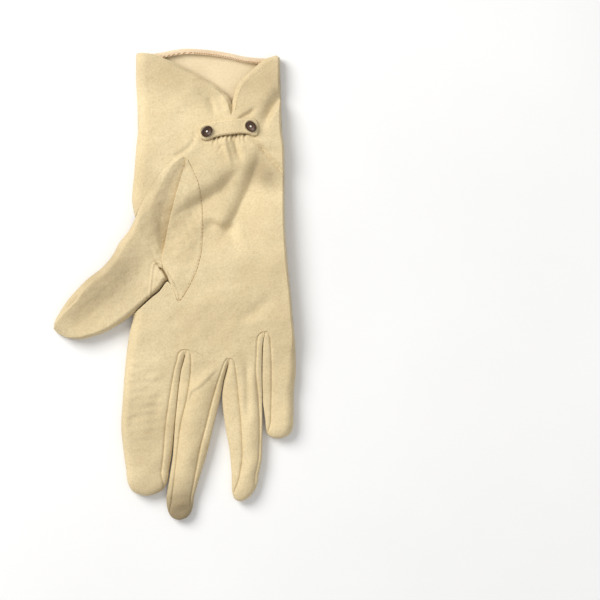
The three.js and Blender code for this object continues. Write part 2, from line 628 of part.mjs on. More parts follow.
// The trank: palm and back in one piece, from the edge of the cuff to the fingertips
function trankSheet() {
  const sheet = new Sheet();
  const rows = [
    { zone: "cuff", drop: 0, wall: HEM_WALL },
    { zone: "cuff", drop: HEM_WIDTH, wall: HEM_WALL },
    { zone: "cuff", drop: HEM_WIDTH + HEM_STEP, wall: WALL },
    ...CUFF_ROWS.map((share) => ({ zone: "cuff", share, wall: WALL })),
    ...PALM_ROWS.map((share) => ({ zone: "palm", share, wall: WALL })),
  ];
  const make = (top, column, row) => (inside) => {
    const inset = inside ? row.wall : 0;
    if (row.zone === "cuff") return cuffPoint(top, column, row, inset);
    return palmPoint(top, column, row.share, inset);
  };
  const side = (top) => (top ? TOP_COLUMNS : BACK_COLUMNS);
  const shared = (top, column, row) => {
    if (!top && column === 0) return [true, 0, row];
    if (!top && column === BACK_COLUMNS) return [true, TOP_COLUMNS, row];
    return [top, column, row];
  };
  const handVertex = (top, column, row) => {
    const [t, c, r] = shared(top, column, row);
    return sheet.vertex(`hand ${t} ${c} ${r}`, make(t, c, rows[r]));
  };
  const face = (top, a, b, c, d) => (top ? sheet.quad(a, b, c, d) : sheet.quad(d, c, b, a));
  for (const top of [true, false]) {
    for (let row = 0; row < rows.length - 1; row += 1) {
      for (let column = 0; column < side(top); column += 1) {
        const a = handVertex(top, column, row);
        const b = handVertex(top, column + 1, row);
        const c = handVertex(top, column + 1, row + 1);
        const d = handVertex(top, column, row + 1);
        face(top, a, b, c, d);
      }
    }
  }
  const crotchRow = rows.length - 1;
  const lastRow = FINGER_ROWS.length + TIP_ANGLES.length - 1;
  for (const strip of STRIPS) {
    const fingerVertex = (top, column, row) => {
      if (row < 0) return handVertex(top, column, crotchRow);
      const range = stripRange(strip, top ? TOP_SLOTS : BACK_SLOTS, side(top));
      const closed = row > FINGER_ROWS.length;
      const atRight = column === range[0];
      const atLeft = column === range[1];
      const joins = (atRight && (closed || !strip.seams[0])) || (atLeft && (closed || !strip.seams[1]));
      if (joins) {
        const topRange = stripRange(strip, TOP_SLOTS, TOP_COLUMNS);
        const c = atRight ? topRange[0] : topRange[1];
        const key = `${strip.name} true ${c} ${row}`;
        return sheet.vertex(key, (inside) => fingerPoint(strip, true, c, row, inside ? WALL : 0));
      }
      const key = `${strip.name} ${top} ${column} ${row}`;
      return sheet.vertex(key, (inside) => fingerPoint(strip, top, column, row, inside ? WALL : 0));
    };
    for (const top of [true, false]) {
      const [from, to] = stripRange(strip, top ? TOP_SLOTS : BACK_SLOTS, side(top));
      for (let row = -1; row < lastRow; row += 1) {
        for (let column = from; column < to; column += 1) {
          const a = fingerVertex(top, column, row);
          const b = fingerVertex(top, column + 1, row);
          const c = fingerVertex(top, column + 1, row + 1);
          const d = fingerVertex(top, column, row + 1);
          face(top, a, b, c, d);
        }
      }
    }
    closeTip(sheet, strip, lastRow, fingerVertex);
  }
  return sheet;
}

// Joins the last rows of a finger's two strips at its tip
function closeTip(sheet, strip, row, fingerVertex) {
  const top = stripRange(strip, TOP_SLOTS, TOP_COLUMNS);
  const back = stripRange(strip, BACK_SLOTS, BACK_COLUMNS);
  let i = top[0];
  let j = back[0];
  while (i < top[1] || j < back[1]) {
    const shareTop = (i + 1 - top[0]) / (top[1] - top[0]);
    const shareBack = (j + 1 - back[0]) / (back[1] - back[0]);
    const a = fingerVertex(true, i, row);
    const b = fingerVertex(false, j, row);
    if (j >= back[1] || (i < top[1] && shareTop <= shareBack)) {
      sheet.triangle(a, fingerVertex(true, i + 1, row), b);
      i += 1;
    } else {
      sheet.triangle(a, fingerVertex(false, j + 1, row), b);
      j += 1;
    }
  }
}

// A forked strip between two fingers: down the side of one, round the crotch and up the other's side.
// Its stations match the rows of the two fingers, and it is pointed at both ends.
function forkSheet(leftStrip, rightStrip) {
  const slot = leftStrip.k - 1;
  const edge = (strip, side) => {
    const range = (slots, last) => stripRange(strip, slots, last)[side > 0 ? 0 : 1];
    return { top: range(TOP_SLOTS, TOP_COLUMNS), back: range(BACK_SLOTS, BACK_COLUMNS) };
  };
  const beside = (strip, side, row) => (inset) => {
    const columns = edge(strip, side);
    const top = fingerPoint(strip, true, columns.top, row, inset);
    const back = fingerPoint(strip, false, columns.back, row, inset);
    const away = new THREE.Vector3(side * SEAM_GAP, 0, 0);
    const atTip = row === FINGER_ROWS.length;
    const shape = fingerAt(strip.name, top.y);
    const tip = tipAt(strip.name, TIP_ANGLES[0], 0);
    let outline = side > 0 ? shape.right : shape.left;
    if (atTip) outline = tip.middle + side * tip.half;
    const dip = atTip ? 0 : FORK_DIP * (1 - FINGER_ROWS[row]) ** FORK_DIP_POWER;
    const middle = new THREE.Vector3(outline - side * inset, top.y - dip, shape.side);
    return [top.add(away), middle, back.add(away)];
  };
  const point = (strip, side) => (inset) => {
    const end = tipAt(strip.name, FORK_END_ANGLE, inset);
    const x = end.middle + side * (end.half - SEAM_GAP);
    const at = (rise) => new THREE.Vector3(x, end.y + SEAM_GAP, end.base.side + rise);
    return [at(FORK_END), at(0), at(-FORK_END)];
  };
  const crotch = (inset) => {
    const away = new THREE.Vector3(0, -CROTCH_GAP, 0);
    const top = palmPoint(true, TOP_SLOTS[slot], 1, inset).add(away);
    const back = palmPoint(false, BACK_SLOTS[slot], 1, inset).add(away);
    const shape = fingerAt(leftStrip.name, top.y);
    return [top, new THREE.Vector3(top.x, top.y - FORK_DIP, shape.side), back];
  };
  const rows = [...FINGER_ROWS.keys(), FINGER_ROWS.length];
  const stations = [
    point(leftStrip, 1),
    ...[...rows].reverse().map((row) => beside(leftStrip, 1, row)),
    crotch,
    ...rows.map((row) => beside(rightStrip, -1, row)),
    point(rightStrip, -1),
  ];
  const sheet = new Sheet();
  const vertex = (i, j) => sheet.vertex(`${i} ${j}`, (inside) => {
    const [top, middle, back] = stations[i](inside ? WALL : 0);
    const v = j / FORK_COLUMNS;
    return new THREE.Vector3()
      .addScaledVector(top, (1 - v) * (1 - 2 * v))
      .addScaledVector(middle, 4 * v * (1 - v))
      .addScaledVector(back, v * (2 * v - 1));
  });
  for (let i = 0; i < stations.length - 1; i += 1) {
    for (let j = 0; j < FORK_COLUMNS; j += 1) {
      sheet.quad(vertex(i, j), vertex(i, j + 1), vertex(i + 1, j + 1), vertex(i + 1, j));
    }
  }
  return sheet;
}

// Outer face of the palm without its pleats, as a height over the plan
const palmTop = (x, y) => handHeight(true, TOP_COLUMNS, x, y, 0, 0);

// Even spacing that gathers at both ends
const eased = (share) => 0.5 - 0.5 * Math.cos(Math.PI * share);

// A vertex of the thumb's palm side
function thumbTop(row, column, inset) {
  const t = THUMB[row];
  const half = THUMB_COLUMNS / 2;
  const closedInner = row >= THUMB_TUBE_ROW;
  let v = eased(column / THUMB_COLUMNS);
  if (!closedInner) {
    v = column <= half ? t.roll * eased(column / half) : lerp(t.roll, 1, (column - half) / half);
  }
  const [a, b] = thumbEdges(row, inset);
  const x = lerp(a.x, b.x, v);
  const y = lerp(a.y, b.y, v);
  const side = SIDE_LEVEL * t.high;
  const high = t.high - inset;
  const share = v / t.roll;
  if (closedInner) {
    const arch = Math.min(rounded(v, THUMB_EDGES.outer), rounded(1 - v, THUMB_EDGES.inner));
    return new THREE.Vector3(x, y, lerp(side, high, arch) - thumbDent(row, v));
  }
  const sunk = THUMB_SUNK * smooth(row, THUMB_TUBE_ROW - SUNK_ROWS, THUMB_TUBE_ROW);
  const zOuter = row >= THUMB_SIDE_ROW ? side : palmTop(a.x, a.y) - inset;
  const zInner = palmTop(b.x, b.y) - sunk - inset;
  const valley = t.valley - inset;
  let z = lerp(zOuter, high, rounded(share, THUMB_CREST));
  if (share > THUMB_CREST) z = lerp(high, valley, (share - THUMB_CREST) / (1 - THUMB_CREST));
  if (v > t.roll) z = lerp(valley, zInner, rounded((v - t.roll) / (1 - t.roll), PANEL_EDGE));
  return new THREE.Vector3(x, y, z);
}

// Depth of the long dent at a place of the thumb
function thumbDent(row, v) {
  const dent = THUMB_DENT;
  const along = smooth(row, dent.start, dent.full) * (1 - smooth(row, dent.fade, dent.end));
  return dent.deep * along * Math.exp(-(((v - dent.place) / dent.wide) ** 2));
}

// Both ends of a thumb row in plan, drawn in by the inset where the edge is a rounded side
function thumbEdges(row, inset) {
  const t = THUMB[row];
  const a = new THREE.Vector2(t.ax, t.ay);
  const b = new THREE.Vector2(t.bx, t.by);
  const across = b.clone().sub(a).normalize();
  if (row >= THUMB_SIDE_ROW) a.addScaledVector(across, inset);
  if (row >= THUMB_TUBE_ROW) b.addScaledVector(across, -inset);
  if (row === THUMB.length - 1) {
    const back = new THREE.Vector2(-across.y, across.x).multiplyScalar(inset);
    a.add(back);
    b.add(back);
  }
  return [a, b];
}

// A vertex of the thumb's underside. Its first row ends free inside the palm, under the thumb's panel.
function thumbUnder(row, column, inset) {
  const t = THUMB[row];
  const [a, b] = thumbEdges(row, inset);
  const v = eased(column / THUMB_UNDER_COLUMNS);
  const x = lerp(a.x, b.x, v);
  const y = lerp(a.y, b.y, v);
  const lift = THUMB_LIFT * smooth(x, LIFT_START, LIFT_END) * smooth(y, LIFT_LEVEL - LIFT_FADE, LIFT_LEVEL);
  const edge = row >= THUMB_TUBE_ROW ? Math.min(v, 1 - v) : v;
  const z = lerp(SIDE_LEVEL * t.high, lift + inset, rounded(edge, THUMB_ROUND));
  return new THREE.Vector3(x, y, z);
}

function thumbSheet() {
  const sheet = new Sheet();
  const last = THUMB.length - 1;
  const top = (row, column) => sheet.vertex(`top ${row} ${column}`, (inside) => (
    thumbTop(row, column, inside ? WALL : 0)));
  const under = (row, column) => {
    if (column === 0) return top(row, 0);
    if (column === THUMB_UNDER_COLUMNS && row >= THUMB_TUBE_ROW) return top(row, THUMB_COLUMNS);
    return sheet.vertex(`under ${row} ${column}`, (inside) => thumbUnder(row, column, inside ? WALL : 0));
  };
  for (let row = 0; row < last; row += 1) {
    for (let column = 0; column < THUMB_COLUMNS; column += 1) {
      sheet.quad(top(row, column), top(row + 1, column), top(row + 1, column + 1), top(row, column + 1));
    }
    if (row < THUMB_SIDE_ROW) continue;
    for (let column = 0; column < THUMB_UNDER_COLUMNS; column += 1) {
      const a = under(row, column);
      const b = under(row, column + 1);
      const c = under(row + 1, column + 1);
      const d = under(row + 1, column);
      sheet.quad(a, b, c, d);
    }
  }
  const ratio = THUMB_COLUMNS / THUMB_UNDER_COLUMNS;
  let i = 0;
  for (let j = 0; j < THUMB_UNDER_COLUMNS; j += 1) {
    while (i < THUMB_COLUMNS && i + 1 <= (j + 1) * ratio) {
      sheet.triangle(top(last, i + 1), top(last, i), under(last, j));
      i += 1;
    }
    sheet.triangle(top(last, i), under(last, j), under(last, j + 1));
  }
  return sheet;
}

// Moves each point of a closed outline outwards by a distance
function grow(outline, distance) {
  const count = outline.length;
  const normal = (p, q) => new THREE.Vector2(q.y - p.y, p.x - q.x).normalize();
  const turn = THREE.ShapeUtils.isClockWise(outline) ? -1 : 1;
  return outline.map((p, i) => {
    const n0 = normal(outline[(i + count - 1) % count], p);
    const n1 = normal(p, outline[(i + 1) % count]);
    const middle = n0.clone().add(n1).normalize();
    const reach = (turn * distance) / Math.max(middle.dot(n0), MITRE_LIMIT);
    return p.clone().addScaledVector(middle, reach);
  });
}

// Plan of the thumb's place in the palm, open to the side past the hand's outline
function thumbHole() {
  const inner = THUMB.slice(0, THUMB_TUBE_ROW + HOLE_ROWS).map((t) => new THREE.Vector2(t.bx, t.by));
  const outer = THUMB.slice(0, THUMB_SIDE_ROW + 1).map((t) => new THREE.Vector2(t.ax, t.ay));
  const beyond = [
    new THREE.Vector2(HOLE_SIDE, inner.at(-1).y - HOLE_MARGIN),
    new THREE.Vector2(HOLE_SIDE, outer.at(-1).y + HOLE_MARGIN),
  ];
  const outline = grow([...inner, ...beyond, ...outer.reverse()], SEAM_GAP);
  const shape = new THREE.Shape(outline);
  const hole = new THREE.ExtrudeGeometry(shape, { depth: HOLE_HEIGHT, bevelEnabled: false });
  return hole.translate(0, 0, LIP_LEVEL);
}

// Underside of the strap, just clear of the pleats' ridges
const strapBase = (x, y) => palmTop(x, y) + SEAM_GAP;

function strapSheet() {
  const sheet = new Sheet();
  const first = STRAP[0].x;
  const length = STRAP.at(-1).x - first;
  const vertex = (i, j) => sheet.vertex(`${i} ${j}`, (inside) => {
    const x = first + length * (0.5 - 0.5 * Math.cos((Math.PI * i) / STRAP_ROWS));
    const high = read(STRAP, "x", "high", x);
    const low = read(STRAP, "x", "low", x);
    const y = lerp(high, low, j / STRAP_COLUMNS);
    return new THREE.Vector3(x, y, strapBase(x, y) + (inside ? 0 : STRAP_WALL));
  });
  for (let i = 0; i < STRAP_ROWS; i += 1) {
    for (let j = 0; j < STRAP_COLUMNS; j += 1) {
      sheet.quad(vertex(i, j), vertex(i, j + 1), vertex(i + 1, j + 1), vertex(i + 1, j));
    }
  }
  return sheet;
}

function buttonGeometry(button) {
  const profile = BUTTON_PROFILE.map((p) => new THREE.Vector2(p.r, p.z));
  const round = new THREE.LatheGeometry(profile, BUTTON_SIDES).rotateX(Math.PI / 2);
  return round.scale(...BUTTON_OVAL, 1).rotateZ(THREE.MathUtils.degToRad(button.turn));
}

// Level of a button's underside: just clear of the strap all over the button's width
function buttonLevel(button) {
  const reach = BUTTON_PROFILE[2].r * BUTTON_OVAL[0];
  let level = 0;
  for (let i = 0; i < BUTTON_SIDES; i += 1) {
    const angle = (2 * Math.PI * i) / BUTTON_SIDES;
    const x = button.x + reach * Math.cos(angle);
    const y = button.y + reach * Math.sin(angle);
    level = Math.max(level, strapBase(x, y));
  }
  return level + STRAP_WALL + SEAM_GAP;
}

const wasm = await Module();
wasm.setup();

// Turns a closed geometry into a solid that can be cut, and back
function toSolid(geometry) {
  const bare = geometry.clone();
  bare.deleteAttribute("normal");
  bare.deleteAttribute("uv");
  const merged = mergeVertices(bare, MERGE_DISTANCE);
  return new wasm.Manifold(new wasm.Mesh({
    numProp: 3,
    vertProperties: new Float32Array(merged.attributes.position.array),
    triVerts: new Uint32Array(merged.index.array),
  }));
}

function fromSolid(solid) {
  const mesh = solid.getMesh();
  const geometry = new THREE.BufferGeometry();
  geometry.setAttribute("position", new THREE.Float32BufferAttribute(mesh.vertProperties, 3));
  geometry.setIndex(Array.from(mesh.triVerts));
  return geometry;
}

const LEATHER = { color: 0xe6d8b4, roughness: 0.75, metalness: 0 };
const BUTTON = { color: 0x4d3821, roughness: 0.35, metalness: 0 };
const glove = new THREE.Group();

function addPiece(name, geometry, look) {
  geometry.computeVertexNormals();
  const mesh = new THREE.Mesh(geometry, new THREE.MeshStandardMaterial(look));
  mesh.name = name;
  glove.add(mesh);
  return mesh;
}

const [little, ring, middle, index] = STRIPS;
addPiece("trank", fromSolid(toSolid(trankSheet().solid()).subtract(toSolid(thumbHole()))), LEATHER);
addPiece("fourchette_index_middle", forkSheet(index, middle).solid(), LEATHER);
addPiece("fourchette_middle_ring", forkSheet(middle, ring).solid(), LEATHER);
addPiece("fourchette_ring_little", forkSheet(ring, little).solid(), LEATHER);
addPiece("thumb", thumbSheet().solid(), LEATHER);
addPiece("strap", strapSheet().solid(), LEATHER);
for (const button of BUTTONS) {
  const mesh = addPiece(button.name, buttonGeometry(button), BUTTON);
  mesh.position.set(button.x, button.y, buttonLevel(button));
}

export default glove;
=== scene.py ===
# The looks of a dress glove of ivory faux leather, lying palm up.
# The glove's lengths are millimetres until a mesh is made, and the room's are metres. +Z is up, +Y runs
# from the fingers to the cuff.

import math

import bpy
import bmesh
import numpy as np
from mathutils import Matrix, Vector


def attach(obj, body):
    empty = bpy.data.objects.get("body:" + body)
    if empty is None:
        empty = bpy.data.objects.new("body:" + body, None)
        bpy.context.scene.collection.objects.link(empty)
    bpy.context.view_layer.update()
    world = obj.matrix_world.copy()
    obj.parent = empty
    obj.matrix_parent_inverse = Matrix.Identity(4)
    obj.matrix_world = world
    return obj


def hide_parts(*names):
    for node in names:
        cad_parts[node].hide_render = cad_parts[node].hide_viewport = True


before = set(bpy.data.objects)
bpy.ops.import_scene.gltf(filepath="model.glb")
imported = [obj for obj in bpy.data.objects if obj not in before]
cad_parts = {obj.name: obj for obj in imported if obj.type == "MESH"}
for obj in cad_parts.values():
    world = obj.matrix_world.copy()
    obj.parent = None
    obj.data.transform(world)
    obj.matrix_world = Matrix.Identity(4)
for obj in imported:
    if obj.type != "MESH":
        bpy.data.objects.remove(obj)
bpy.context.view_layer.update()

MM = 0.001

# The photograph: its size, one pixel in millimetres, and the pixel at the frame's origin
PHOTO_SIZE = 600
PIXEL = 0.53
PHOTO_ORIGIN = (173.5, 284.3)

# The camera, straight over the photograph's middle at a level of the glove, and the sensor that it has
CAMERA_DISTANCE = 2000.0
CAMERA_LEVEL = 6.0
SENSOR = 36.0

# The room: the point that the lights look at, half the floor's side, and how far it lies under the glove
LIGHT_TARGET = (0.02, 0, 0)
FLOOR_REACH = 3
FLOOR_DROP = 0.0001

# Walls, and the rounded edges of the hand and the fingers
WALL = 1.0
HEM_WALL = 2.0
HEM_WIDTH = 1.5
HEM_FADE = 0.4
HEM_LEVELS = (0.2, 4)
PALM_EDGES = (6.0, 1.2)
PALM_FALL = 0.1
FINGER_EDGE = 4.2
EDGE_POWER = 1.8
SIDE_LEVEL = 0.42
FOLD_FADE = 0.32

# Gathers and strap
STRAP_LINE = 81
PLEAT_DEPTH = 1.9
PLEAT_TAIL = 0.6
PLEAT_SEED = 11
GROOVE_DEPTH = 1.2
STRAP_WALL = 1.2
STRAP_EDGE = 0.35
STRAP_BULGE = 0.35
STRAP_STEPS = (160, 40)
BUTTON_RADIUS = 2.95
BUTTON_RIM = 0.35
BUTTON_LIFT = 0.3
# How far the flaps droop towards the V between them, its x and width, and the y where it starts and is full
FLAP_SAG = (1.8, 31, 16, 86, 104)

# Seams and the forked strips between the fingers
STITCH_PITCH = 2.1
FORK_DIP = 3.2
FORK_POWER = 0.8
FORK_TOUCH = {"index": 0.72, "middle": 0.45, "ring": 0.92}
FORK_OPEN = (66, 100)
FORK_STEPS = 24
CROTCH_ROUND = 4.0
CROTCH_BLEND = 18.0
SEAM_END = 66.0
SEAM_GAP = 0.1
FINGER_SEAM = 0.8
SEAM_FADE = (38, 56)
BACK_SEAM = 0.4
SEAM_CREASE = 0.5
CREASE_WIDTH = 0.5
TIP_BLUNT = 0.05
HOLE_LEVELS = (1.2, 40)

# Undulation of the leather, each of so many waves: height, size and seed
RIPPLE_WAVES = 14
PALM_RIPPLES = ((0.22, 12, 5), (0.07, 4.5, 6))
THUMB_RIPPLES = ((0.18, 9, 21), (0.07, 3.5, 22))
INDEX_WRINKLES = (0.18, 2.2, 8)
TIP_WRINKLES = (0.5, 3.4, 9)


def table(names, rows):
    """A short table whose columns are read by name."""
    columns = np.array(sorted(rows), float).T
    return dict(zip(names.split(), columns))


HAND = table("y left right crown", [
    (122, -19.9, 56.4, 8.4), (109, -19.9, 56.4, 9.2), (97, -19.3, 57, 10.2), (84, -18.8, 57.2, 11.6),
    (71, -19.9, 58.7, 12.6), (58, -20.9, 58.8, 13.2), (45, -22, 58.8, 13.4), (38, -21, 58.9, 13.4),
    (33, -19.8, 59, 13.4), (13, -20.4, 60.3, 13), (-8, -21, 62.4, 12.2), (-16, -21.2, 63, 11.6),
    (-26, -23.4, 64, 10.8), (-35, -24.7, 64.6, 10.2), (-45, -25.8, 64.8, 9.6), (-60, -26.9, 63.6, 9.2),
    (-75, -27.8, 63.6, 9), (-90, -26.4, 63.6, 8.8), (-102, -24.6, 63.6, 8.6),
])

# Columns of the palm (True) and of the back (False): the three that end in a slot between fingers, the last,
# and stretches of columns with the steps that each is cut into
SLOTS = {True: (4, 12, 20), False: (3, 6, 9)}
LAST = {True: 25, False: 12}
FINE = {
    True: [(0, 4, 34), (4, 12, 32), (12, 20, 36), (20, 25, 44)],
    False: [(0, 3, 9), (3, 6, 9), (6, 9, 9), (9, 12, 12)],
}
SLOT_NAMES = ("little", "ring", "middle")

# Palm columns where a finger has a seam (1), and where it has its middle or a plain rounded side (0)
ACROSS = ((2, 4, 8, 12, 16, 20, 22.5), (0, 1, 0, 1, 0, 1, 0))

# Rows of the cuff: distances from its edge over the turned hem, then even steps to the strap's line
HEM_DROPS = (0, 0.3, 0.6, 0.9, 1.2, 1.38, 1.5, 1.62, 1.76)
CUFF_ROWS = 34
PALM_ROWS = 140

COLUMNS = table("y little ring middle", [
    (122, 45, 30.5, 10), (89, 40, 30.5, 20.5), (81, 38.8, 30.1, 20.8), (75, 39.2, 30.1, 20.3),
    (64, 41, 30.2, 18.2), (45, 43.6, 29.6, 13.4), (0, 47.2, 29, 8), (-25, 48.2, 29.2, 6.7),
    (-40, 48.2, 29.3, 6.5),
])
RIM = table("column x y", [
    (0, 56.4, 120.2), (2, 50, 118), (4, 44.2, 113.4), (6, 39.4, 109.2), (8, 35.4, 104.2), (10, 33.4, 97),
    (11, 32.7, 92.8), (12, 30.7, 89.4), (13, 29.7, 92.6), (14, 28.2, 97.2), (16, 22.6, 103.2),
    (18, 15.2, 107.7), (20, 6.6, 112.5), (22, -4, 117.5), (23.5, -11.8, 120.5), (25, -19.9, 122),
])
BACK_RIM = table("x y", [
    (-19.9, 121.8), (-12, 121.3), (-4, 122.6), (6, 124.1), (16, 123.6), (28, 122), (40, 119.5), (49, 118.8),
    (56.4, 119.8),
])
CROTCH = table("column y", [
    (0, -26), (4, -24.8), (8, -33), (12, -39.1), (16, -38.5), (20, -34.3), (25, -35),
])
SPREAD = table("back palm", [(0, 0), (3, 4), (6, 12), (9, 20), (12, 25)])

STATION = "y left seam_left seam_right right high"


def finger(slot, sewn, tip, stations):
    """A finger: its number from the little one, whether its right and left are sewn, its tip and stations."""
    tip = dict(zip(("round", "end", "x", "blunt"), tip))
    return {"slot": slot, "sewn": sewn, "tip": tip, "stations": table(STATION, stations)}


FINGERS = {
    "little": finger(0, (False, True), (-73, -81.8, 55.4, 0.48), [
        (-25, 48.2, 50.8, 64, 64, 10), (-30, 47.7, 51.4, 64, 64, 9.6), (-45, 47.1, 52, 64, 64, 9),
        (-60, 47.3, 51.9, 64, 63.6, 8.6), (-73, 48.8, 51.6, 64, 63.6, 8.2),
    ]),
    "ring": finger(1, (True, True), (-101, -115, 35.2, 0.15), [
        (-25, 27, 31, 45.2, 47.9, 10.2), (-32, 28.5, 31.6, 44.3, 47.2, 10), (-39, 29, 32.4, 44, 46.9, 9.7),
        (-45, 28.2, 32.9, 43.7, 46.8, 9.4), (-52, 26.6, 33.8, 44.2, 46.9, 9.2),
        (-60, 25.8, 34.6, 45, 47, 9), (-75, 27.4, 36, 45.7, 47.1, 8.8), (-90, 29.9, 36.6, 45.4, 46.9, 8.6),
        (-105, 31.1, 34.4, 42.4, 44.3, 8.2),
    ]),
    "middle": finger(2, (True, True), (-113, -125, 3, 0.3), [
        (-34, 6.4, 9, 28.6, 29.4, 10.2), (-40, 5.4, 9.4, 27.3, 28.9, 10), (-45, 4.1, 9.3, 25.8, 27.8, 9.8),
        (-52, 3.1, 8.5, 23.4, 26.2, 9.6), (-60, 2.2, 7.2, 21, 24.8, 9.4), (-75, 0.7, 3.8, 17.2, 21.2, 9.2),
        (-90, -0.4, 1.9, 13.5, 17.6, 9), (-101, -2, 0.7, 11.5, 14.2, 8.6),
        (-113, -3.9, -0.8, 9.2, 10.7, 7.2),
    ]),
    "index": finger(3, (True, False), (-99, -112.2, -14.4, 0.35), [
        (-34, -25, -25, 2.9, 6.2, 10.2), (-40, -25, -25, 2, 5.2, 10), (-45, -26, -25, 0.6, 3.9, 9.8),
        (-60, -27, -25, -2, 2, 9.4), (-75, -27.8, -25, -4.1, 0.5, 9.2), (-90, -26.4, -25, -5.3, -1, 9),
        (-101, -24.8, -25, -6.6, -2.9, 8.6),
    ]),
}

# Folds of the palm side: their width on the left and on the right of a path, the height that they add, a
# power that makes the right side steepest along the path where it is below 2, and the path
FOLDS = [
    (17, 3.7, -5.5, 1.5, [(47.5, 76), (46.6, 71), (45.2, 67), (44.2, 62.6), (41.9, 57.2), (39.7, 50.4),
     (36.2, 43), (33.4, 36.7), (28.6, 28.2), (23.5, 18.3)]),
    (13, 4.2, -5.2, 1.6, [(39, 64.5), (33, 58), (25.2, 49.2), (17.2, 44.7), (9.5, 40.2), (-3, 34)]),
    (9, 2.8, -3.2, 2, [(36, 30.6), (29.4, 28.8), (25, 29.2), (20, 31.4), (15, 34.6)]),
    (3.4, 3.4, -0.9, 2, [(54, -6), (43, -14.5), (32, -20.6)]),
    (1.1, 1.1, -2, 2, [(40, 78.4), (43.2, 75.4), (46.6, 72.4), (50.6, 67.6), (56.4, 60.9), (62, 55)]),
    (3, 4, -0.9, 2, [(44, 70), (52, 59), (57, 52)]),
    (1.3, 3.4, -2.9, 2, [(61.5, 106), (59.5, 102.6), (56, 97.8), (52.4, 92.6), (49.3, 87), (47.8, 81)]),
    (3.2, 4, 0.7, 2, [(54, 107), (49, 99), (45, 92)]),
    (1.3, 2.2, -0.9, 2, [(18.6, 101), (20.8, 94), (22.6, 87.5)]),
    (0.5, 3.2, 0.8, 2, [(25, -42.6), (21.8, -45.8), (17.7, -50.2), (13.7, -54), (9.6, -56.3), (7.6, -60.7),
     (6.3, -64.8)]),
    (2.2, 2, -1.3, 2, [(38.4, -36), (39.2, -50), (39.6, -76)]),
    (3.5, 3.5, -0.7, 2, [(-7, -54), (-9.5, -68), (-9.5, -78)]),
    (4.5, 4.5, 0.8, 2, [(-10, 111), (8, 104), (20, 92), (22.9, 86)]),
]

# Small folds round the strap and at the notch. The strap lies straight over them.
GATHERS = [
    (1.2, 1.4, -1.5, 2, [(33.5, 86.4), (35.8, 87.8), (40, 90), (44.5, 94)]),
    (1.6, 1.2, 1.1, 2, [(26, 84), (26.4, 78.6), (28.5, 70), (31.5, 61)]),
    (1.6, 1.5, -1.3, 2, [(31.6, 84), (32.1, 78.5), (34.2, 69.5), (37.4, 63)]),
    (0.6, 0.6, -0.45, 2, [(22.8, 69), (25.4, 72.6), (28, 74.4)]),
    (0.6, 0.6, -0.45, 2, [(23.8, 75), (25.4, 72.6), (28, 69.6)]),
    (1.1, 0.9, -1, 2, [(12.8, 83.5), (11.4, 77.6), (9.4, 73.3), (4.5, 69.6), (-2.5, 65.5)]),
    (3.5, 2, 1.2, 2, [(25, 100), (28.4, 95.6), (30.4, 90)]),
]

THUMB = table("row ax ay bx by roll high valley", [(row, *values) for row, values in enumerate([
    (4.6, 67.6, 7.9, 65.8, 0.55, 13, 12.4), (1.6, 66.8, 11.3, 58.6, 0.47, 13.2, 11.2),
    (-1.2, 65, 13.8, 52.1, 0.38, 13.3, 10.4), (-4.2, 62.2, 15.2, 42, 0.36, 13.3, 9.8),
    (-7, 58.6, 15.7, 31, 0.345, 13.3, 9.2), (-9.7, 54.5, 15.3, 19.8, 0.35, 13.3, 8.8),
    (-12.3, 50.6, 13.5, 10.2, 0.37, 13.3, 8.5), (-14.6, 46.8, 9.3, 0.2, 0.43, 13.4, 8.8),
    (-16.6, 43, 2.9, -9.2, 0.55, 13.6, 12.2), (-18.8, 38.6, 0.4, -3.2, 0.67, 14, 12.2),
    (-20.7, 34.2, -1.4, 0.2, 0.765, 14.4, 10.9), (-24, 28, -3.2, 1.5, 1, 14.4, 9.8),
    (-28.6, 22.2, -7.2, -3.6, 1, 14, 10), (-32.6, 15, -11.4, -7, 1, 13.4, 10),
    (-38.4, 8.4, -21.5, -15.9, 1, 12.4, 10), (-45.3, 3.1, -28.9, -21.3, 1, 11.4, 10),
    (-51.7, -3.3, -36.3, -25.3, 1, 10.6, 10), (-57, -9.6, -43.2, -27.8, 1, 9.8, 10),
    (-60.4, -14.9, -49.6, -29.2, 1, 8.8, 10), (-63, -19.5, -55.4, -28.8, 1, 7.2, 10),
    (-63.9, -23.4, -61.2, -26.4, 1, 3.4, 10),
])])
THUMB_LAST = 20
THUMB_SIDE_ROW = 10
THUMB_TUBE_ROW = 11
THUMB_ROUND = 0.46
THUMB_EDGES = (0.14, 0.1)
THUMB_CREST = (0.3, 0.12)
THUMB_BLEND = (8.6, 12.6)
PANEL_EDGE = 0.05
PANEL_BULGE = 0.3
PANEL_OVERHANG = 3.0
# The thumb's dent: where across it starts, is full and ends, its depth, and the share that fades at its end
THUMB_DENT = (0.1, 0.56, 0.95, 3.0, 0.45)
THUMB_SUNK = 4.0
THUMB_LIFT = 2.0
THUMB_FINE = 16
THUMB_COLUMNS = 100
THUMB_UNDER_COLUMNS = 36

STRAP = table("x high low", [
    (13.9, 80.6, 79), (14.8, 83.4, 76.8), (17.4, 84.7, 76.3), (21.5, 85.8, 77.7), (26, 86.4, 78.8),
    (31, 86.9, 79.4), (36, 87.5, 79.9), (40, 87.8, 79.6), (42.6, 87.5, 78.6), (44.2, 86.2, 78.8),
    (45, 84.2, 81),
])
# Plan x and y, and degrees of turn and tilt
BUTTONS = {"button_left": (17.8, 80.8, 42, 12), "button_right": (41.2, 83.5, -42, 12)}
BUTTON_OVAL = (1.1, 0.88)
BUTTON_STEPS = 64
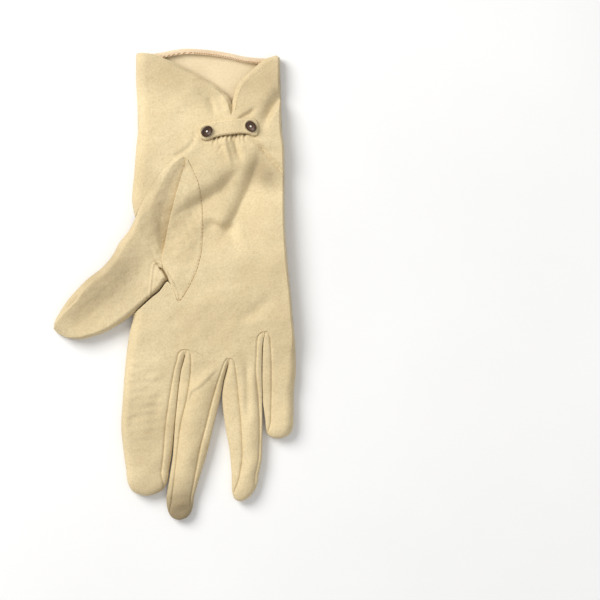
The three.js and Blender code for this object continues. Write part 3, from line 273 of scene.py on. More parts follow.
# Radius and height up a button's rolled rim, brown ring and pit, and then up its pearl
BUTTON_LINE = [(2.35, 0), (2.75, 0.2), (2.95, 0.6), (2.95, 1), (2.85, 1.35), (2.65, 1.6), (2.35, 1.66),
               (2.1, 1.5), (1.95, 1.3), (1.6, 1.18), (1.25, 1.12), (1.1, 0.9), (0.62, 0.85)]
PEARL_RADIUS, PEARL_LEVEL = 0.62, 0.9

# Shares of a thread's length and of its radius, between both ends
THREAD_LINE = [(0.06, 0.6), (0.2, 0.95), (0.5, 1.0), (0.8, 0.95), (0.94, 0.6)]
THREAD_SIDES = 8
# Edges of the strap with a line of stitches, and how far up from the edge it runs
STRAP_STITCHES = (("high", -0.75), ("low", 0.75))

# Low lines on the thumb, as folds: the welt round its small gusset with the dip beside it, the hook of its
# crease, and the seam at its tip
WELT = [(-12.5, -7.3), (-11.8, 0.5), (-10.9, 8.9), (-10.4, 10.6), (-8, 11.6), (-6.2, 10.6), (-4.6, 8.2),
        (-0.5, 1.7), (2, -4.6), (2.8, -9.8)]
THUMB_LINES = [
    (0.55, 0.55, 0.75, 2, WELT),
    (1.3, 1.3, -0.5, 2, WELT),
    (0.4, 0.5, -2.6, 2, [(-6.8, 8.4), (-5.2, 7), (-3.6, 4.4), (-2.6, 1.2)]),
    (0.5, 2.6, -1.1, 2, [(-40, 5.5), (-48, -2.5), (-51.2, -7.8), (-55.2, -11.8), (-60.7, -16.8),
     (-62.8, -20.5)]),
]


def lerp(a, b, t):
    return a + (b - a) * t


def smooth(at, low, high):
    t = np.clip((at - low) / (high - low), 0, 1)
    return t * t * (3 - 2 * t)


def rounded(distance, edge):
    """Quarter circle that rises from 0 to 1 over the edge's width."""
    t = np.clip(distance / edge, 0, 1)
    return np.sqrt(1 - (1 - t) ** 2)


def unit(run):
    """Vectors of length 1 along others."""
    return run / np.maximum(np.linalg.norm(run, axis=-1, keepdims=True), 1e-9)


def read(rows, column, at):
    """Reads a table's column at places of its first one, on a smooth curve that never overshoots."""
    xs, ys = next(iter(rows.values())), rows[column]
    width = np.diff(xs)
    slope = np.diff(ys) / width
    product = slope[:-1] * slope[1:]
    total = np.where(product > 0, slope[:-1] + slope[1:], 1)
    inner = np.where(product > 0, 2 * product / total, 0)
    tangent = np.concatenate([slope[:1], inner, slope[-1:]])
    at = np.asarray(at, float)
    i = np.clip(np.searchsorted(xs, at, side="right") - 1, 0, len(xs) - 2)
    t = np.clip((at - xs[i]) / width[i], 0, 1)
    t2, t3 = t * t, t * t * t
    start = (2 * t3 - 3 * t2 + 1) * ys[i] + (t3 - 2 * t2 + t) * tangent[i] * width[i]
    end = (3 * t2 - 2 * t3) * ys[i + 1] + (t3 - t2) * tangent[i + 1] * width[i]
    return start + end


def ripple(x, y, size, seed):
    """Soft random undulation with bumps of about that size."""
    rng = np.random.default_rng(seed)
    total = 0
    for _ in range(RIPPLE_WAVES):
        angle, phase = rng.uniform(0, 2 * np.pi, 2)
        length = size * rng.uniform(1.2, 3.0)
        total = total + np.sin(2 * np.pi * (x * np.cos(angle) + y * np.sin(angle)) / length + phase)
    return total / np.sqrt(RIPPLE_WAVES)


def path_distance(path, x, y):
    """Signed distance to a path, positive on its left, and the share of the path that lies behind."""
    best, signed, share, done = np.inf, 0.0, 0.0, 0.0
    lengths = [math.dist(a, b) for a, b in zip(path, path[1:])]
    for (x0, y0), (x1, y1), length in zip(path, path[1:], lengths):
        dx, dy = (x1 - x0) / length, (y1 - y0) / length
        along = np.clip((x - x0) * dx + (y - y0) * dy, 0, length)
        away = np.hypot(x - x0 - along * dx, y - y0 - along * dy)
        near = away < best
        best = np.minimum(away, best)
        signed = np.where(near, away * np.sign(dx * (y - y0) - dy * (x - x0)), signed)
        share = np.where(near, (done + along) / sum(lengths), share)
        done += length
    return signed, share


def relief(folds, x, y, start=FOLD_FADE, end=0.68):
    """Height that a list of folds adds. Each fades in and out along its path."""
    rise = 0.0
    for left, right, height, power, path in folds:
        signed, share = path_distance(path, x, y)
        width = np.where(signed > 0, left, right)
        bend = np.where(signed > 0, 2.0, power)
        taper = smooth(share, start - FOLD_FADE, start) * (1 - smooth(share, end, min(end + FOLD_FADE, 1)))
        rise = rise + height * taper * np.exp(-(np.abs(signed / width) ** bend))
    return rise


def ripples(layers, x, y):
    """Height that layers of undulation add."""
    return sum(height * ripple(x, y, size, seed) for height, size, seed in layers)


def fold_rise(x, y):
    """Height that the folds, the soft undulation and the fine wrinkles add to the palm side."""
    index = smooth(x, -27, -20) * (1 - smooth(x, -9, -3)) * smooth(-y, 30, 42) * (1 - smooth(-y, 74, 86))
    tip = np.exp(-(((x - 3) / 6) ** 2) - ((y + 117) / 5.5) ** 2)
    wrinkles = index * ripples([INDEX_WRINKLES], 0.35 * x, y) + tip * ripples([TIP_WRINKLES], 0.3 * x, y)
    return relief(FOLDS, x, y) + ripples(PALM_RIPPLES, x, y) + wrinkles


def pleat_rise(column, x, y):
    """Pleats under the strap, each with its own depth and length, and the groove along its lower edge."""
    rng = np.random.default_rng(PLEAT_SEED)
    depths = rng.uniform(0.7, 1.3, LAST[True] + 1)
    reaches = rng.uniform(-3, 2, LAST[True] + 1)
    nearest = np.clip(2 * np.floor(column / 2) + 1, 1, LAST[True]).astype(int)
    across = smooth(column, 2.6, 5) * (1 - smooth(column, 19, 21.4))
    under = smooth(x, 14.5, 19) * (1 - smooth(x, 42.5, 45))
    from_edge = y - read(STRAP, "low", x)
    below = np.maximum(-from_edge, 0)
    depth = PLEAT_DEPTH * np.exp(-((below / 1.2) ** 2))
    depth = depth + PLEAT_TAIL * (1 - smooth(below, 1.0, 6.5 + reaches[nearest]))
    valley = 0.5 - 0.5 * np.cos(np.pi * column)
    pleats = depth * depths[nearest] * across * (1 - smooth(y, 81, 85)) * valley
    groove = GROOVE_DEPTH * under * np.exp(-(((from_edge + 0.2) / 0.8) ** 2))
    return -pleats - groove


def to_palm(top, column):
    """The palm's column over a column of the back, or a column of the palm itself."""
    return column if top else read(SPREAD, "palm", column)


def sides(y, inset=0):
    """Plan x of the hand's left and right side."""
    return read(HAND, "left", y) + inset, read(HAND, "right", y) - inset


def column_x(top, column, y, inset):
    """Plan x of a column that runs down the hand. Near both sides the columns gather at the edge."""
    left, right = sides(y, inset)
    little, ring, middle = (read(COLUMNS, name, y) for name in SLOT_NAMES)
    first, second, third = SLOTS[top]
    share_right = np.clip(column / first, 0, 1) ** EDGE_POWER
    share_left = np.clip((LAST[top] - column) / (LAST[top] - third), 0, 1) ** EDGE_POWER
    values = [
        right - (right - little) * share_right,
        lerp(little, ring, (column - first) / (second - first)),
        lerp(ring, middle, (column - second) / (third - second)),
    ]
    places = [column <= first, column <= second, column < third]
    return np.select(places, values, left + (middle - left) * share_left)


def hand_height(top, column, x, y, blend, inset, gathered=True):
    """Height of the palm side over the hand, or of the back."""
    left, right = sides(y, inset)
    crown = read(HAND, "crown", y)
    side = SIDE_LEVEL * crown
    from_left, from_right = (x - left) / (PALM_EDGES[0] - inset), (right - x) / (PALM_EDGES[1] - inset)
    arch = rounded(np.minimum(from_left, from_right), 1)
    if not top:
        return lerp(side, inset, arch)
    across = (x - (left + right) / 2) / ((right - left) / 2)
    full = lerp(crown * (1 - PALM_FALL * across ** 2), crown, blend) + fold_rise(x, y)
    if gathered:
        full = full + pleat_rise(column, x, y) + relief(GATHERS, x, y)
    return lerp(side, full - inset, arch)


def cuff_points(top, column, drop, share, inset):
    """A row of the hand at a drop from the edge of the cuff, or at a share of the way to the strap's line."""
    edge_x = read(RIM, "x", column) if top else column_x(False, column, HAND["y"][-1], 0)
    edge_y = read(RIM, "y", column) if top else read(BACK_RIM, "y", edge_x)
    length = edge_y - STRAP_LINE
    along = drop / length if share is None else lerp(HEM_WIDTH + HEM_FADE, length, share) / length
    y = lerp(edge_y, STRAP_LINE, along)
    left, right = sides(y)
    x = lerp(edge_x, column_x(top, column, STRAP_LINE, 0), along)
    x = np.where(column == 0, right, np.where(column == LAST[top], left, x))
    middle = (left + right) / 2
    x = middle + (x - middle) * (1 - 2 * inset / (right - left))
    z = hand_height(top, to_palm(top, column), x, y, 0, inset)
    if top:
        deep, centre, wide, start, full = FLAP_SAG
        z = z - deep * np.exp(-(((x - centre) / wide) ** 2)) * smooth(y, start, full)
    return np.stack([x, y, z], -1)


def palm_points(top, column, share, inset):
    """A row of the hand between the strap's line and the crotches."""
    palm_column = to_palm(top, column)
    y = lerp(STRAP_LINE, read(CROTCH, "y", palm_column), share)
    x = column_x(top, column, y, inset)
    z = hand_height(top, palm_column, x, y, smooth(share, 0.78, 1), inset)
    return np.stack([x, y, z], -1)


def slot_place(name, side):
    """Plan x and y of the crotch at one side of a finger."""
    slot = FINGERS[name]["slot"] - (side > 0)
    y = read(CROTCH, "y", SLOTS[True][slot])
    return read(COLUMNS, SLOT_NAMES[slot], y), y


def strip_ends(name, top):
    """First and last column of a finger's strip."""
    stops = (0, *SLOTS[top], LAST[top])
    return stops[FINGERS[name]["slot"]], stops[FINGERS[name]["slot"] + 1]


def finger_at(name, y):
    """Outline, seams and heights of a finger at a level."""
    finger = FINGERS[name]
    at = np.maximum(y, finger["tip"]["round"])
    shape = {column: read(finger["stations"], column, at) for column in STATION.split()[1:]}
    if name == "index":
        shape["left"] = read(HAND, "left", at)
    if name == "little":
        shape["right"] = read(HAND, "right", at)
    for side, key, sewn in zip((1, -1), ("seam_right", "seam_left"), finger["sewn"]):
        if sewn:
            x, level = slot_place(name, side)
            shape[key] = lerp(x, shape[key], rounded(level - at, CROTCH_ROUND))
    shape["seam"] = lerp(1, FINGER_SEAM, smooth(-np.asarray(at), *SEAM_FADE)) * shape["high"]
    shape["side"] = SIDE_LEVEL * shape["high"]
    return shape


def finger_heights(shape, level, y, across):
    """Heights of a finger's palm side at a place across it, and of its side. Both grow out of the hand's."""
    crown = read(HAND, "crown", y)
    crest = shape["high"] - (shape["high"] - shape["seam"]) * across ** 2
    weight = smooth(level - y, 0, CROTCH_BLEND)
    return lerp(crown, crest, weight), SIDE_LEVEL * lerp(crown, shape["high"], weight), weight


# Rows of a finger: a fine arc round the crotch, then even ones, and then angles round the tip
CROTCH_SHARE = 0.06
SEAM_STEPS = 9
CROTCH_ROWS = [CROTCH_SHARE * (1 - math.cos(math.radians(a))) for a in np.linspace(0, 90, 10)[1:]]
FINGER_ROWS = [*CROTCH_ROWS, *np.linspace(CROTCH_SHARE, 1, 64)[1:]]
TIP_ANGLES = [*np.linspace(0, SEAM_END, SEAM_STEPS + 1)[1:], *np.linspace(SEAM_END, 90, 8)[1:]]
ROWS = [("straight", share) for share in FINGER_ROWS] + [("tip", angle) for angle in TIP_ANGLES]
SEAM_ROWS = len(FINGER_ROWS) + SEAM_STEPS


def tip_at(name, degrees, inset):
    """Half width, middle and level of a finger at an angle round its tip."""
    tip = FINGERS[name]["tip"]
    base = finger_at(name, tip["round"])
    angle = math.radians(degrees)
    share = math.sin(angle)
    half = (base["right"] - base["left"]) / 2 - inset
    return {
        "y": tip["round"] + (tip["end"] + inset - tip["round"]) * share,
        "middle": lerp((base["right"] + base["left"]) / 2, tip["x"], share ** 2),
        "half": half * (1 - (1 - tip["blunt"]) * (1 - math.cos(angle))),
        "bow": 0.3 * half * tip["blunt"] * share ** 3,
        "rise": max(math.cos(angle) ** 0.6, TIP_BLUNT),
        "base": base,
    }


def seam_share(degrees):
    """How far a seam has run out to the side, at an angle round the tip."""
    return (1 - (1 - min(degrees / SEAM_END, 1)) ** 1.5) ** 2


def seam_x(shape, side, top):
    """Plan x of a finger's seam. On the back it lies nearer to the outline."""
    seam = shape["seam_" + side]
    return seam if top else lerp(seam, shape[side], BACK_SEAM)


def finger_edge(name, side, top, row):
    """The seam at one side of a finger: plan x, level, and heights of the seam and of the side's middle."""
    kind, at = row
    edge = "right" if side > 0 else "left"
    if kind == "straight":
        level = slot_place(name, side)[1]
        y = lerp(level, FINGERS[name]["tip"]["round"], at)
        shape = finger_at(name, y)
        seam = seam_x(shape, edge, top)
        high, middle, _ = finger_heights(shape, level, y, 1.0)
        z = high + fold_rise(seam, y) - SEAM_CREASE if top else 0.0
        return {"x": seam, "y": y, "z": z, "outline": shape[edge], "side": middle}
    end = tip_at(name, at, 0)
    base = end["base"]
    centre = (base["left"] + base["right"]) / 2
    lateral = lerp((seam_x(base, edge, top) - centre) / (base[edge] - centre), 1, seam_share(at))
    high = lerp(base["side"], base["seam"] - SEAM_CREASE if top else 0.0, end["rise"])
    return {
        "x": end["middle"] + side * lateral * end["half"],
        "y": end["y"] + end["bow"] * lateral ** 2,
        "z": lerp(high, base["side"], seam_share(at)),
        "outline": end["middle"] + side * end["half"],
        "side": base["side"],
    }


def finger_points(name, top, column, row, inset):
    """A row of a finger's strip, from its right side to its left."""
    kind, at = row
    sewn_right, sewn_left = FINGERS[name]["sewn"]
    palm_column = to_palm(top, column)
    level = read(CROTCH, "y", palm_column)
    if kind == "straight":
        y = lerp(level, FINGERS[name]["tip"]["round"], at)
        shape, closing, closed = finger_at(name, y), 0, False
    else:
        tip = tip_at(name, at, inset)
        y = np.full(np.shape(column), tip["y"])
        shape, closing, closed = tip["base"], seam_share(at), at >= SEAM_END
    crest, side, weight = finger_heights(shape, level, y, np.interp(palm_column, *ACROSS))
    ends = []
    for way, edge, sewn in ((1, "right", sewn_right), (-1, "left", sewn_left)):
        if sewn and not closed:
            seam = seam_x(shape, edge, top) if kind == "straight" else finger_edge(name, way, top, row)["x"]
            ends.append(seam - way * SEAM_GAP / 2)
        elif kind == "straight":
            ends.append(shape[edge] - way * inset)
        else:
            ends.append(tip["middle"] + way * tip["half"])
    right, left = ends
    start, end = strip_ends(name, top)
    t = (column - start) / (end - start)
    t = t if sewn_right else t ** EDGE_POWER
    t = t if sewn_left else 1 - (1 - t) ** EDGE_POWER
    x = lerp(right, left, t)
    crease, arch = 0, 1
    for sewn, away, edge in ((sewn_right, right - x, PALM_EDGES[1]), (sewn_left, x - left, PALM_EDGES[0])):
        if sewn:
            crease = crease + np.exp(-((away / CREASE_WIDTH) ** 2))
        else:
            arch = rounded(away / lerp(edge - inset, FINGER_EDGE - inset, weight), 1)
    full = crest + fold_rise(x, y) - SEAM_CREASE * crease * (1 - closing) - inset if top else inset
    z = lerp(side, full, arch)
    if kind == "tip":
        lateral = np.clip((x - tip["middle"]) / (tip["half"] + 1e-9), -1, 1)
        dome = np.sqrt(np.clip(1 - np.abs(lateral) ** 3, 0, 1))
        flat = shape["high"] + fold_rise(x, y) - inset if top else inset
        z = lerp(z, lerp(side, flat, dome), closing)
        z = lerp(side, z, tip["rise"])
        y = y + tip["bow"] * lateral ** 2
    return np.stack([x, y, z], -1)


class Shell:
    """Grids of a sheet's outer and inner faces, welded and closed into a wall with rounded edges."""

    def __init__(self, bulge=0.3):
        self.outer, self.inner, self.faces = [], [], []
        self.count = 0
        self.bulge = bulge

    def grid(self, outer, inner, flip=False):
        """Adds rows of points on both faces of the wall, and gives the numbers of their vertices."""
        rows, columns = outer.shape[:2]
        ids = self.count + np.arange(rows * columns).reshape(rows, columns)
        self.outer.append(outer.reshape(-1, 3))
        self.inner.append(inner.reshape(-1, 3))
        self.count += rows * columns
        quads = np.stack([ids[:-1, :-1], ids[:-1, 1:], ids[1:, 1:], ids[1:, :-1]], -1).reshape(-1, 4)
        self.faces.append(quads[:, ::-1] if flip else quads)
        return ids

    def strip(self, first, second):
        """Closes the space between two rows of vertices whose counts differ."""
        i = j = 0
        faces = []
        last_i, last_j = len(first) - 1, len(second) - 1
        while i < last_i or j < last_j:
            if j == last_j or (i < last_i and (i + 1) / last_i <= (j + 1) / last_j):
                faces.append((first[i], first[i + 1], second[j], second[j]))
                i += 1
            else:
                faces.append((first[i], second[j + 1], second[j], second[j]))
                j += 1
        self.faces.append(np.array(faces))

    def build(self, name, materials):
        """Makes the closed wall as an object."""
        outer, inner = np.concatenate(self.outer), np.concatenate(self.inner)
        _, first, weld = np.unique(np.round(outer, 3), axis=0, return_index=True, return_inverse=True)
        outer, inner = outer[first], inner[first]
        faces = []
        for face in weld.reshape(-1)[np.concatenate(self.faces)].tolist():
            clean = [v for v, before in zip(face, face[-1:] + face[:-1]) if v != before]
            if len(set(clean)) == len(clean) > 2:
                faces.append(clean)
        # Free edges: those that no second face takes away again
        rims = {}
        for face in faces:
            for a, b in zip(face, face[1:] + face[:1]):
                if not rims.pop((b, a), None):
                    rims[a, b] = face
        # Their middle line, moved outwards
        count = len(outer)
        away = np.zeros((count, 3))
        for (a, b), face in rims.items():
            run = outer[b] - outer[a]
            out = (outer[a] + outer[b]) / 2 - outer[face].mean(0)
            away[[a, b]] += out - run * (out @ run) / max(run @ run, 1e-12)
        used = sorted({v for edge in rims for v in edge})
        thick = inner[used] - outer[used]
        out = away[used] - unit(thick) * np.sum(away[used] * unit(thick), 1, keepdims=True)
        size = np.linalg.norm(thick, axis=1, keepdims=True)
        middle = (outer[used] + inner[used]) / 2 + unit(out) * size * self.bulge
        place = {v: 2 * count + i for i, v in enumerate(used)}
        inside = [[count + v for v in reversed(face)] for face in faces]
        edges = []
        for a, b in rims:
            edges += [[b, a, place[a], place[b]], [place[b], place[a], count + a, count + b]]
        kinds = [0] * len(faces) + [1] * len(faces) + [0] * len(edges)
        points = np.concatenate([outer, inner, middle]) * MM
        return make_object(name, points, faces + inside + edges, materials, kinds)


def place_object(name, data):
    """Adds an object with that data to the scene."""
    placed = bpy.data.objects.new(name, data)
    bpy.context.scene.collection.objects.link(placed)
    return placed


def shade(mesh, angle=50):
    mesh.shade_smooth()
    mesh.set_sharp_from_angle(angle=math.radians(angle))


def make_object(name, points, polygons, materials, kinds=None, angle=50):
    """A mesh object from points in metres. Edges that bend by more than the angle stay sharp."""
    mesh = bpy.data.meshes.new(name)
    mesh.from_pydata([tuple(p) for p in points], [], polygons)
    for material in materials:
        mesh.materials.append(material)
    if kinds is not None and len(materials) > 1:
        mesh.polygons.foreach_set("material_index", np.array(kinds, np.int32))
    mesh.validate()
    shade(mesh, angle)
    return place_object(name, mesh)


def eased(share):
    """Even spacing that gathers at both ends."""
    return 0.5 - 0.5 * np.cos(np.pi * share)


def fine_columns(ranges):
    """Column places. Each stretch is cut into its own number of steps, closer together at the seams."""
    places = []
    for low, high, steps in ranges:
        even = np.linspace(0, 1, steps + 1)[:-1]
        places.append(lerp(low, high, lerp(even, eased(even), 0.6)))
    return np.concatenate([*places, [ranges[-1][1]]])


def hem_inset(drop):
    return lerp(HEM_WALL, WALL, smooth(drop, HEM_WIDTH, HEM_WIDTH + HEM_FADE))


def trank_shell():
    """Palm and back in one sheet, from the edge of the cuff to the fingertips."""
    shell = Shell()
    rows = [(cuff_points, (drop, None), hem_inset(drop)) for drop in HEM_DROPS]
    rows += [(cuff_points, (None, share), WALL) for share in np.linspace(0, 1, CUFF_ROWS)[:-1]]
    rows += [(palm_points, (share,), WALL) for share in np.linspace(0, 1, PALM_ROWS)]
    columns = {top: fine_columns(FINE[top]) for top in FINE}
    faces = [(top, inside) for top in (True, False) for inside in (False, True)]
    hand = {}
    for top, inside in faces:
        grid = [points(top, columns[top], *place, inside * wall) for points, place, wall in rows]
        hand[top, inside] = np.array(grid)
    for inside in (False, True):
        for edge in (0, -1):
            hand[False, inside][:, edge] = hand[True, inside][:, edge]
    for top in (True, False):
        shell.grid(hand[top, False], hand[top, True], flip=not top)
    for name, finger in FINGERS.items():
        strips = {}
        for top, inside in faces:
            start, end = strip_ends(name, top)
            chosen = np.where((columns[top] >= start) & (columns[top] <= end))[0]
            grid = [hand[top, inside][-1, chosen]]
            grid += [finger_points(name, top, columns[top][chosen], row, inside * WALL) for row in ROWS]
            strips[top, inside] = np.array(grid)
        for inside in (False, True):
            for edge, sewn in zip((0, -1), finger["sewn"]):
                first = SEAM_ROWS if sewn else 0
                strips[False, inside][first:, edge] = strips[True, inside][first:, edge]
        ends = [shell.grid(strips[top, False], strips[top, True], flip=not top)[-1] for top in (True, False)]
        shell.strip(*ends)
    return shell


def fork_shell(left_name, right_name):
    """A forked strip between two fingers, from one tip round the crotch to the other tip."""
    angles = np.linspace(0, np.pi, FORK_STEPS + 1)
    upper = angles <= np.pi / 2
    sine, bend = np.sin(angles), np.abs(np.cos(angles)) ** FORK_POWER
    rows = ROWS[:SEAM_ROWS + 1]
    share = FORK_TOUCH[left_name]

    def section(name, side, row, inset):
        top, back = finger_edge(name, side, True, row), finger_edge(name, side, False, row)
        kind, at = row
        depth = FORK_DIP * math.exp(-at * 16) if kind == "straight" else 0
        width = abs(top["outline"] - top["x"])
        x, y, z, outline, middle = (np.where(upper, top[key], back[key]) for key in top)
        start = x + side * min(SEAM_GAP / 2, width / 3)
        reach = outline - side * min(inset, width * 0.8)
        level = np.where(np.abs(z - middle) < inset, middle, z - inset * np.where(upper, 1, -1))
        crease = 1.2 - 1.2 * np.exp(-(sine * width / CREASE_WIDTH) ** 2)
        level = level + upper * min(width / 3, 1) * SEAM_CREASE * crease
        touch = lerp(middle, top["z"], share * (1 - smooth(-y, *FORK_OPEN)))
        return np.stack([lerp(start, reach, sine), y - depth * sine ** 1.5, lerp(touch, level, bend)], -1)

    slot_x, crotch = slot_place(left_name, 1)
    slot = FINGERS[left_name]["slot"] - 1
    side = SIDE_LEVEL * read(HAND, "crown", crotch)
    grids = []
    for inset in (0, WALL):
        ends = [palm_points(top, np.array([SLOTS[top][slot]]), 1, inset)[0] for top in (True, False)]
        y, z = (np.where(upper, ends[0][k], ends[1][k]) for k in (1, 2))
        z = lerp(lerp(side, ends[0][2], share), z, bend)
        middle = np.stack([0 * y + slot_x, y - SEAM_GAP - FORK_DIP * sine ** 1.5, z], -1)
        left = [section(left_name, 1, row, inset) for row in reversed(rows)]
        right = [section(right_name, -1, row, inset) for row in rows]
        grids.append(np.array([*left, middle, *right]))
    shell = Shell()
    shell.grid(*grids, flip=True)
    return shell


def thumb_row(name, row):
    """A value of the thumb's table, between its rows too."""
    return read(THUMB, name, row)


def palm_top(x, y):
    """The palm's outer face without its pleats, as a height over the plan."""
    return hand_height(True, 0 * x, x, y, 0, 0, gathered=False)


def past_row(row, full):
    """Rises from 0 at the row before a full one to 1 at it."""
    return smooth(row, full - 1, full)


def thumb_edges(row, inset):
    """Plan points of both edges of the thumb."""
    a, b = (np.array([thumb_row(edge + "x", row), thumb_row(edge + "y", row)]) for edge in "ab")
    across = unit(b - a)
    a = a + across * inset * past_row(row, THUMB_SIDE_ROW)
    b = b - across * inset * past_row(row, THUMB_TUBE_ROW)
    back = np.array([-across[1], across[0]]) * inset * past_row(row, THUMB_LAST)
    return a + back, b + back


def thumb_top(row, v, inset):
    """A row of the thumb's palm side, from its outer edge (v = 0) to its inner edge (v = 1)."""
    a, b = thumb_edges(row, inset)
    x, y = lerp(a[0], b[0], v), lerp(a[1], b[1], v)
    high, valley, roll = thumb_row("high", row), thumb_row("valley", row) - inset, thumb_row("roll", row)
    side = SIDE_LEVEL * high
    high = high - inset
    # The roll beside the valley, up from the outer edge and down into the valley
    start = lerp(palm_top(a[0], a[1]) - inset, side, past_row(row, THUMB_SIDE_ROW))
    share = np.clip(v / roll, 0, 1)
    crest = lerp(*THUMB_CREST, smooth(row, 6, THUMB_SIDE_ROW))
    rise = lerp(rounded(share, crest), smooth(share, 0, crest), 0.6 * (1 - smooth(row, 7, 9)))
    fall = np.clip((share - crest) / (1 - crest), 0, 1)
    down = lerp(high, valley, lerp(fall, fall ** 2, 0.4))
    rolled = np.where(share < crest, lerp(start, high, rise), down)
    # The flat panel past the valley, sewn to the palm
    past = np.clip((v - roll) / np.maximum(1 - roll, 1e-6), 0, 1)
    sunk = THUMB_SUNK * smooth(row, THUMB_TUBE_ROW - 3, THUMB_TUBE_ROW)
    level = palm_top(x, y) - inset - sunk + PANEL_BULGE * (1 - past)
    opened = np.where(v > roll, lerp(valley, level, rounded(past, PANEL_EDGE)), rolled)
    pits = 0.7 + 0.6 * np.cos(2 * np.pi * y / STITCH_PITCH)
    opened = opened - SEAM_CREASE * pits * np.exp(-((1 - v) / 0.022) ** 2)
    # The tube that is clear of the palm
    tube = lerp(side, high, rounded(v, THUMB_EDGES[0])) - thumb_dent(row, v)
    z = lerp(opened, tube, smooth(row, *THUMB_BLEND))
    closed = side + (z - side) * rounded(1 - v, THUMB_EDGES[1])
    z = lerp(z, closed, past_row(row, THUMB_TUBE_ROW))
    z = z + ripples(THUMB_RIPPLES, x, y) * smooth(v, 0, 0.12) * (1 - smooth(v, 0.88, 1))
    z = z + relief(THUMB_LINES, x, y, 0.04, 0.94) * smooth(v, 0, 0.04) * (1 - smooth(v, 0.985, 1))
    # The valley's foot lies back under the roll
    folded = smooth(row, 0.4, 2.4) * (1 - smooth(row, 6.6, 7.8))
    near = smooth(v, roll - 0.12, roll)
    under = near * (1 - smooth(past, 0, PANEL_EDGE))
    behind = near * (1 - smooth(past, PANEL_EDGE, 0.4))
    x = x + folded * (PANEL_OVERHANG * under + inset * behind)
    return np.stack([x, y, z], -1)


def thumb_dent(row, v):
    """The long shallow dent down the thumb, beside the crest at its outer edge."""
    start, full, end, deep, share = THUMB_DENT
    along = smooth(row, 9, 12) * (1 - smooth(row, 15.5, 19.5))
    return deep * along * smooth(v, start, full) * (1 - share * smooth(v, full, end))


def thumb_under(row, v, inset):
    """A row of the thumb's underside, from its outer edge to its inner edge."""
    a, b = thumb_edges(row, inset)
    x, y = lerp(a[0], b[0], v), lerp(a[1], b[1], v)
    low = THUMB_LIFT * smooth(x, -29, -22.5) * smooth(y, -15.5, -12) + inset
    side = SIDE_LEVEL * thumb_row("high", row)
    opened = lerp(side, low, rounded(v, THUMB_ROUND))
    tube = lerp(side, low, rounded(np.minimum(v, 1 - v), THUMB_ROUND))
    return np.stack([x, y, lerp(opened, tube, past_row(row, THUMB_TUBE_ROW))], -1)


def thumb_places(row):
    """Places across a thumb row: close together at the roll, the valley and both edges."""
    share = np.linspace(0, 1, THUMB_COLUMNS + 1)
    roll = thumb_row("roll", row)
    opened = np.where(share <= 0.5, roll * eased(2 * share), lerp(roll, 1, 2 * share - 1))
    return lerp(opened, eased(share), past_row(row, THUMB_TUBE_ROW))


def thumb_shell():
    """The thumb: its palm side over all rows, and its underside from the row where it leaves the hand."""
    shell = Shell()
    rows = np.linspace(0, THUMB_LAST, THUMB_LAST * THUMB_FINE + 1)
    places = eased(np.linspace(0, 1, THUMB_UNDER_COLUMNS + 1))
    side, tube = THUMB_SIDE_ROW * THUMB_FINE, THUMB_TUBE_ROW * THUMB_FINE
    tops, unders = [], []
    for inset in (0, WALL):
        top = np.array([thumb_top(row, thumb_places(row), inset) for row in rows])
        under = np.array([thumb_under(row, places, inset) for row in rows[side:]])
        under[:, 0] = top[side:, 0]
        under[tube - side:, -1] = top[tube:, -1]
        tops.append(top)
        unders.append(under)
    upper = shell.grid(*tops, flip=True)[-1]
    shell.strip(shell.grid(*unders)[-1], upper)
    return shell


def thumb_hole():
    """Plan outline of the thumb's place in the palm, open to the side past the hand's outline."""
    rows = {"a": np.arange(0, THUMB_SIDE_ROW + 0.01, 0.25), "b": np.arange(0, THUMB_TUBE_ROW + 3.01, 0.2)}
    outer, inner = (np.stack([thumb_row(edge + axis, rows[edge]) for axis in "xy"], -1) for edge in "ab")
    beyond = [(-30, inner[-1, 1] - 3), (-30, outer[-1, 1] + 3)]
    outline = np.concatenate([inner, beyond, outer[::-1]])
    before, after = np.roll(outline, 1, 0), np.roll(outline, -1, 0)
    run = unit(after - before)
    area = np.sum(outline[:, 0] * after[:, 1] - after[:, 0] * outline[:, 1]) / 2
    return outline + np.stack([run[:, 1], -run[:, 0]], -1) * math.copysign(SEAM_GAP, area)


def cut_hole(piece):
    """Cuts the thumb's place out of the palm."""
    outline = thumb_hole()
    count = len(outline)
    points = [(x, y, z) for z in HOLE_LEVELS for x, y in outline]
    walls = [[i, (i + 1) % count, count + (i + 1) % count, count + i] for i in range(count)]
    ends = [list(range(count))[::-1], list(range(count, 2 * count))]
    cutter = make_object("hole_cutter", np.array(points) * MM, walls + ends, [LEATHER])
    bm = bmesh.new()
    bm.from_mesh(cutter.data)
    bmesh.ops.recalc_face_normals(bm, faces=bm.faces)
    bmesh.ops.triangulate(bm, faces=bm.faces)
    bm.to_mesh(cutter.data)
    bm.free()
    cut = piece.modifiers.new("hole", "BOOLEAN")
    cut.operation = "DIFFERENCE"
    cut.solver = "MANIFOLD"
    cut.object = cutter
    view = bpy.context.evaluated_depsgraph_get()
    view.update()
    mesh = bpy.data.meshes.new_from_object(piece.evaluated_get(view), depsgraph=view)
    piece.modifiers.clear()
    piece.data = mesh
    shade(mesh)
    bpy.data.objects.remove(cutter)


def strap_base(x, y):
    """Lower face of the strap."""
    return palm_top(x, y) + SEAM_GAP


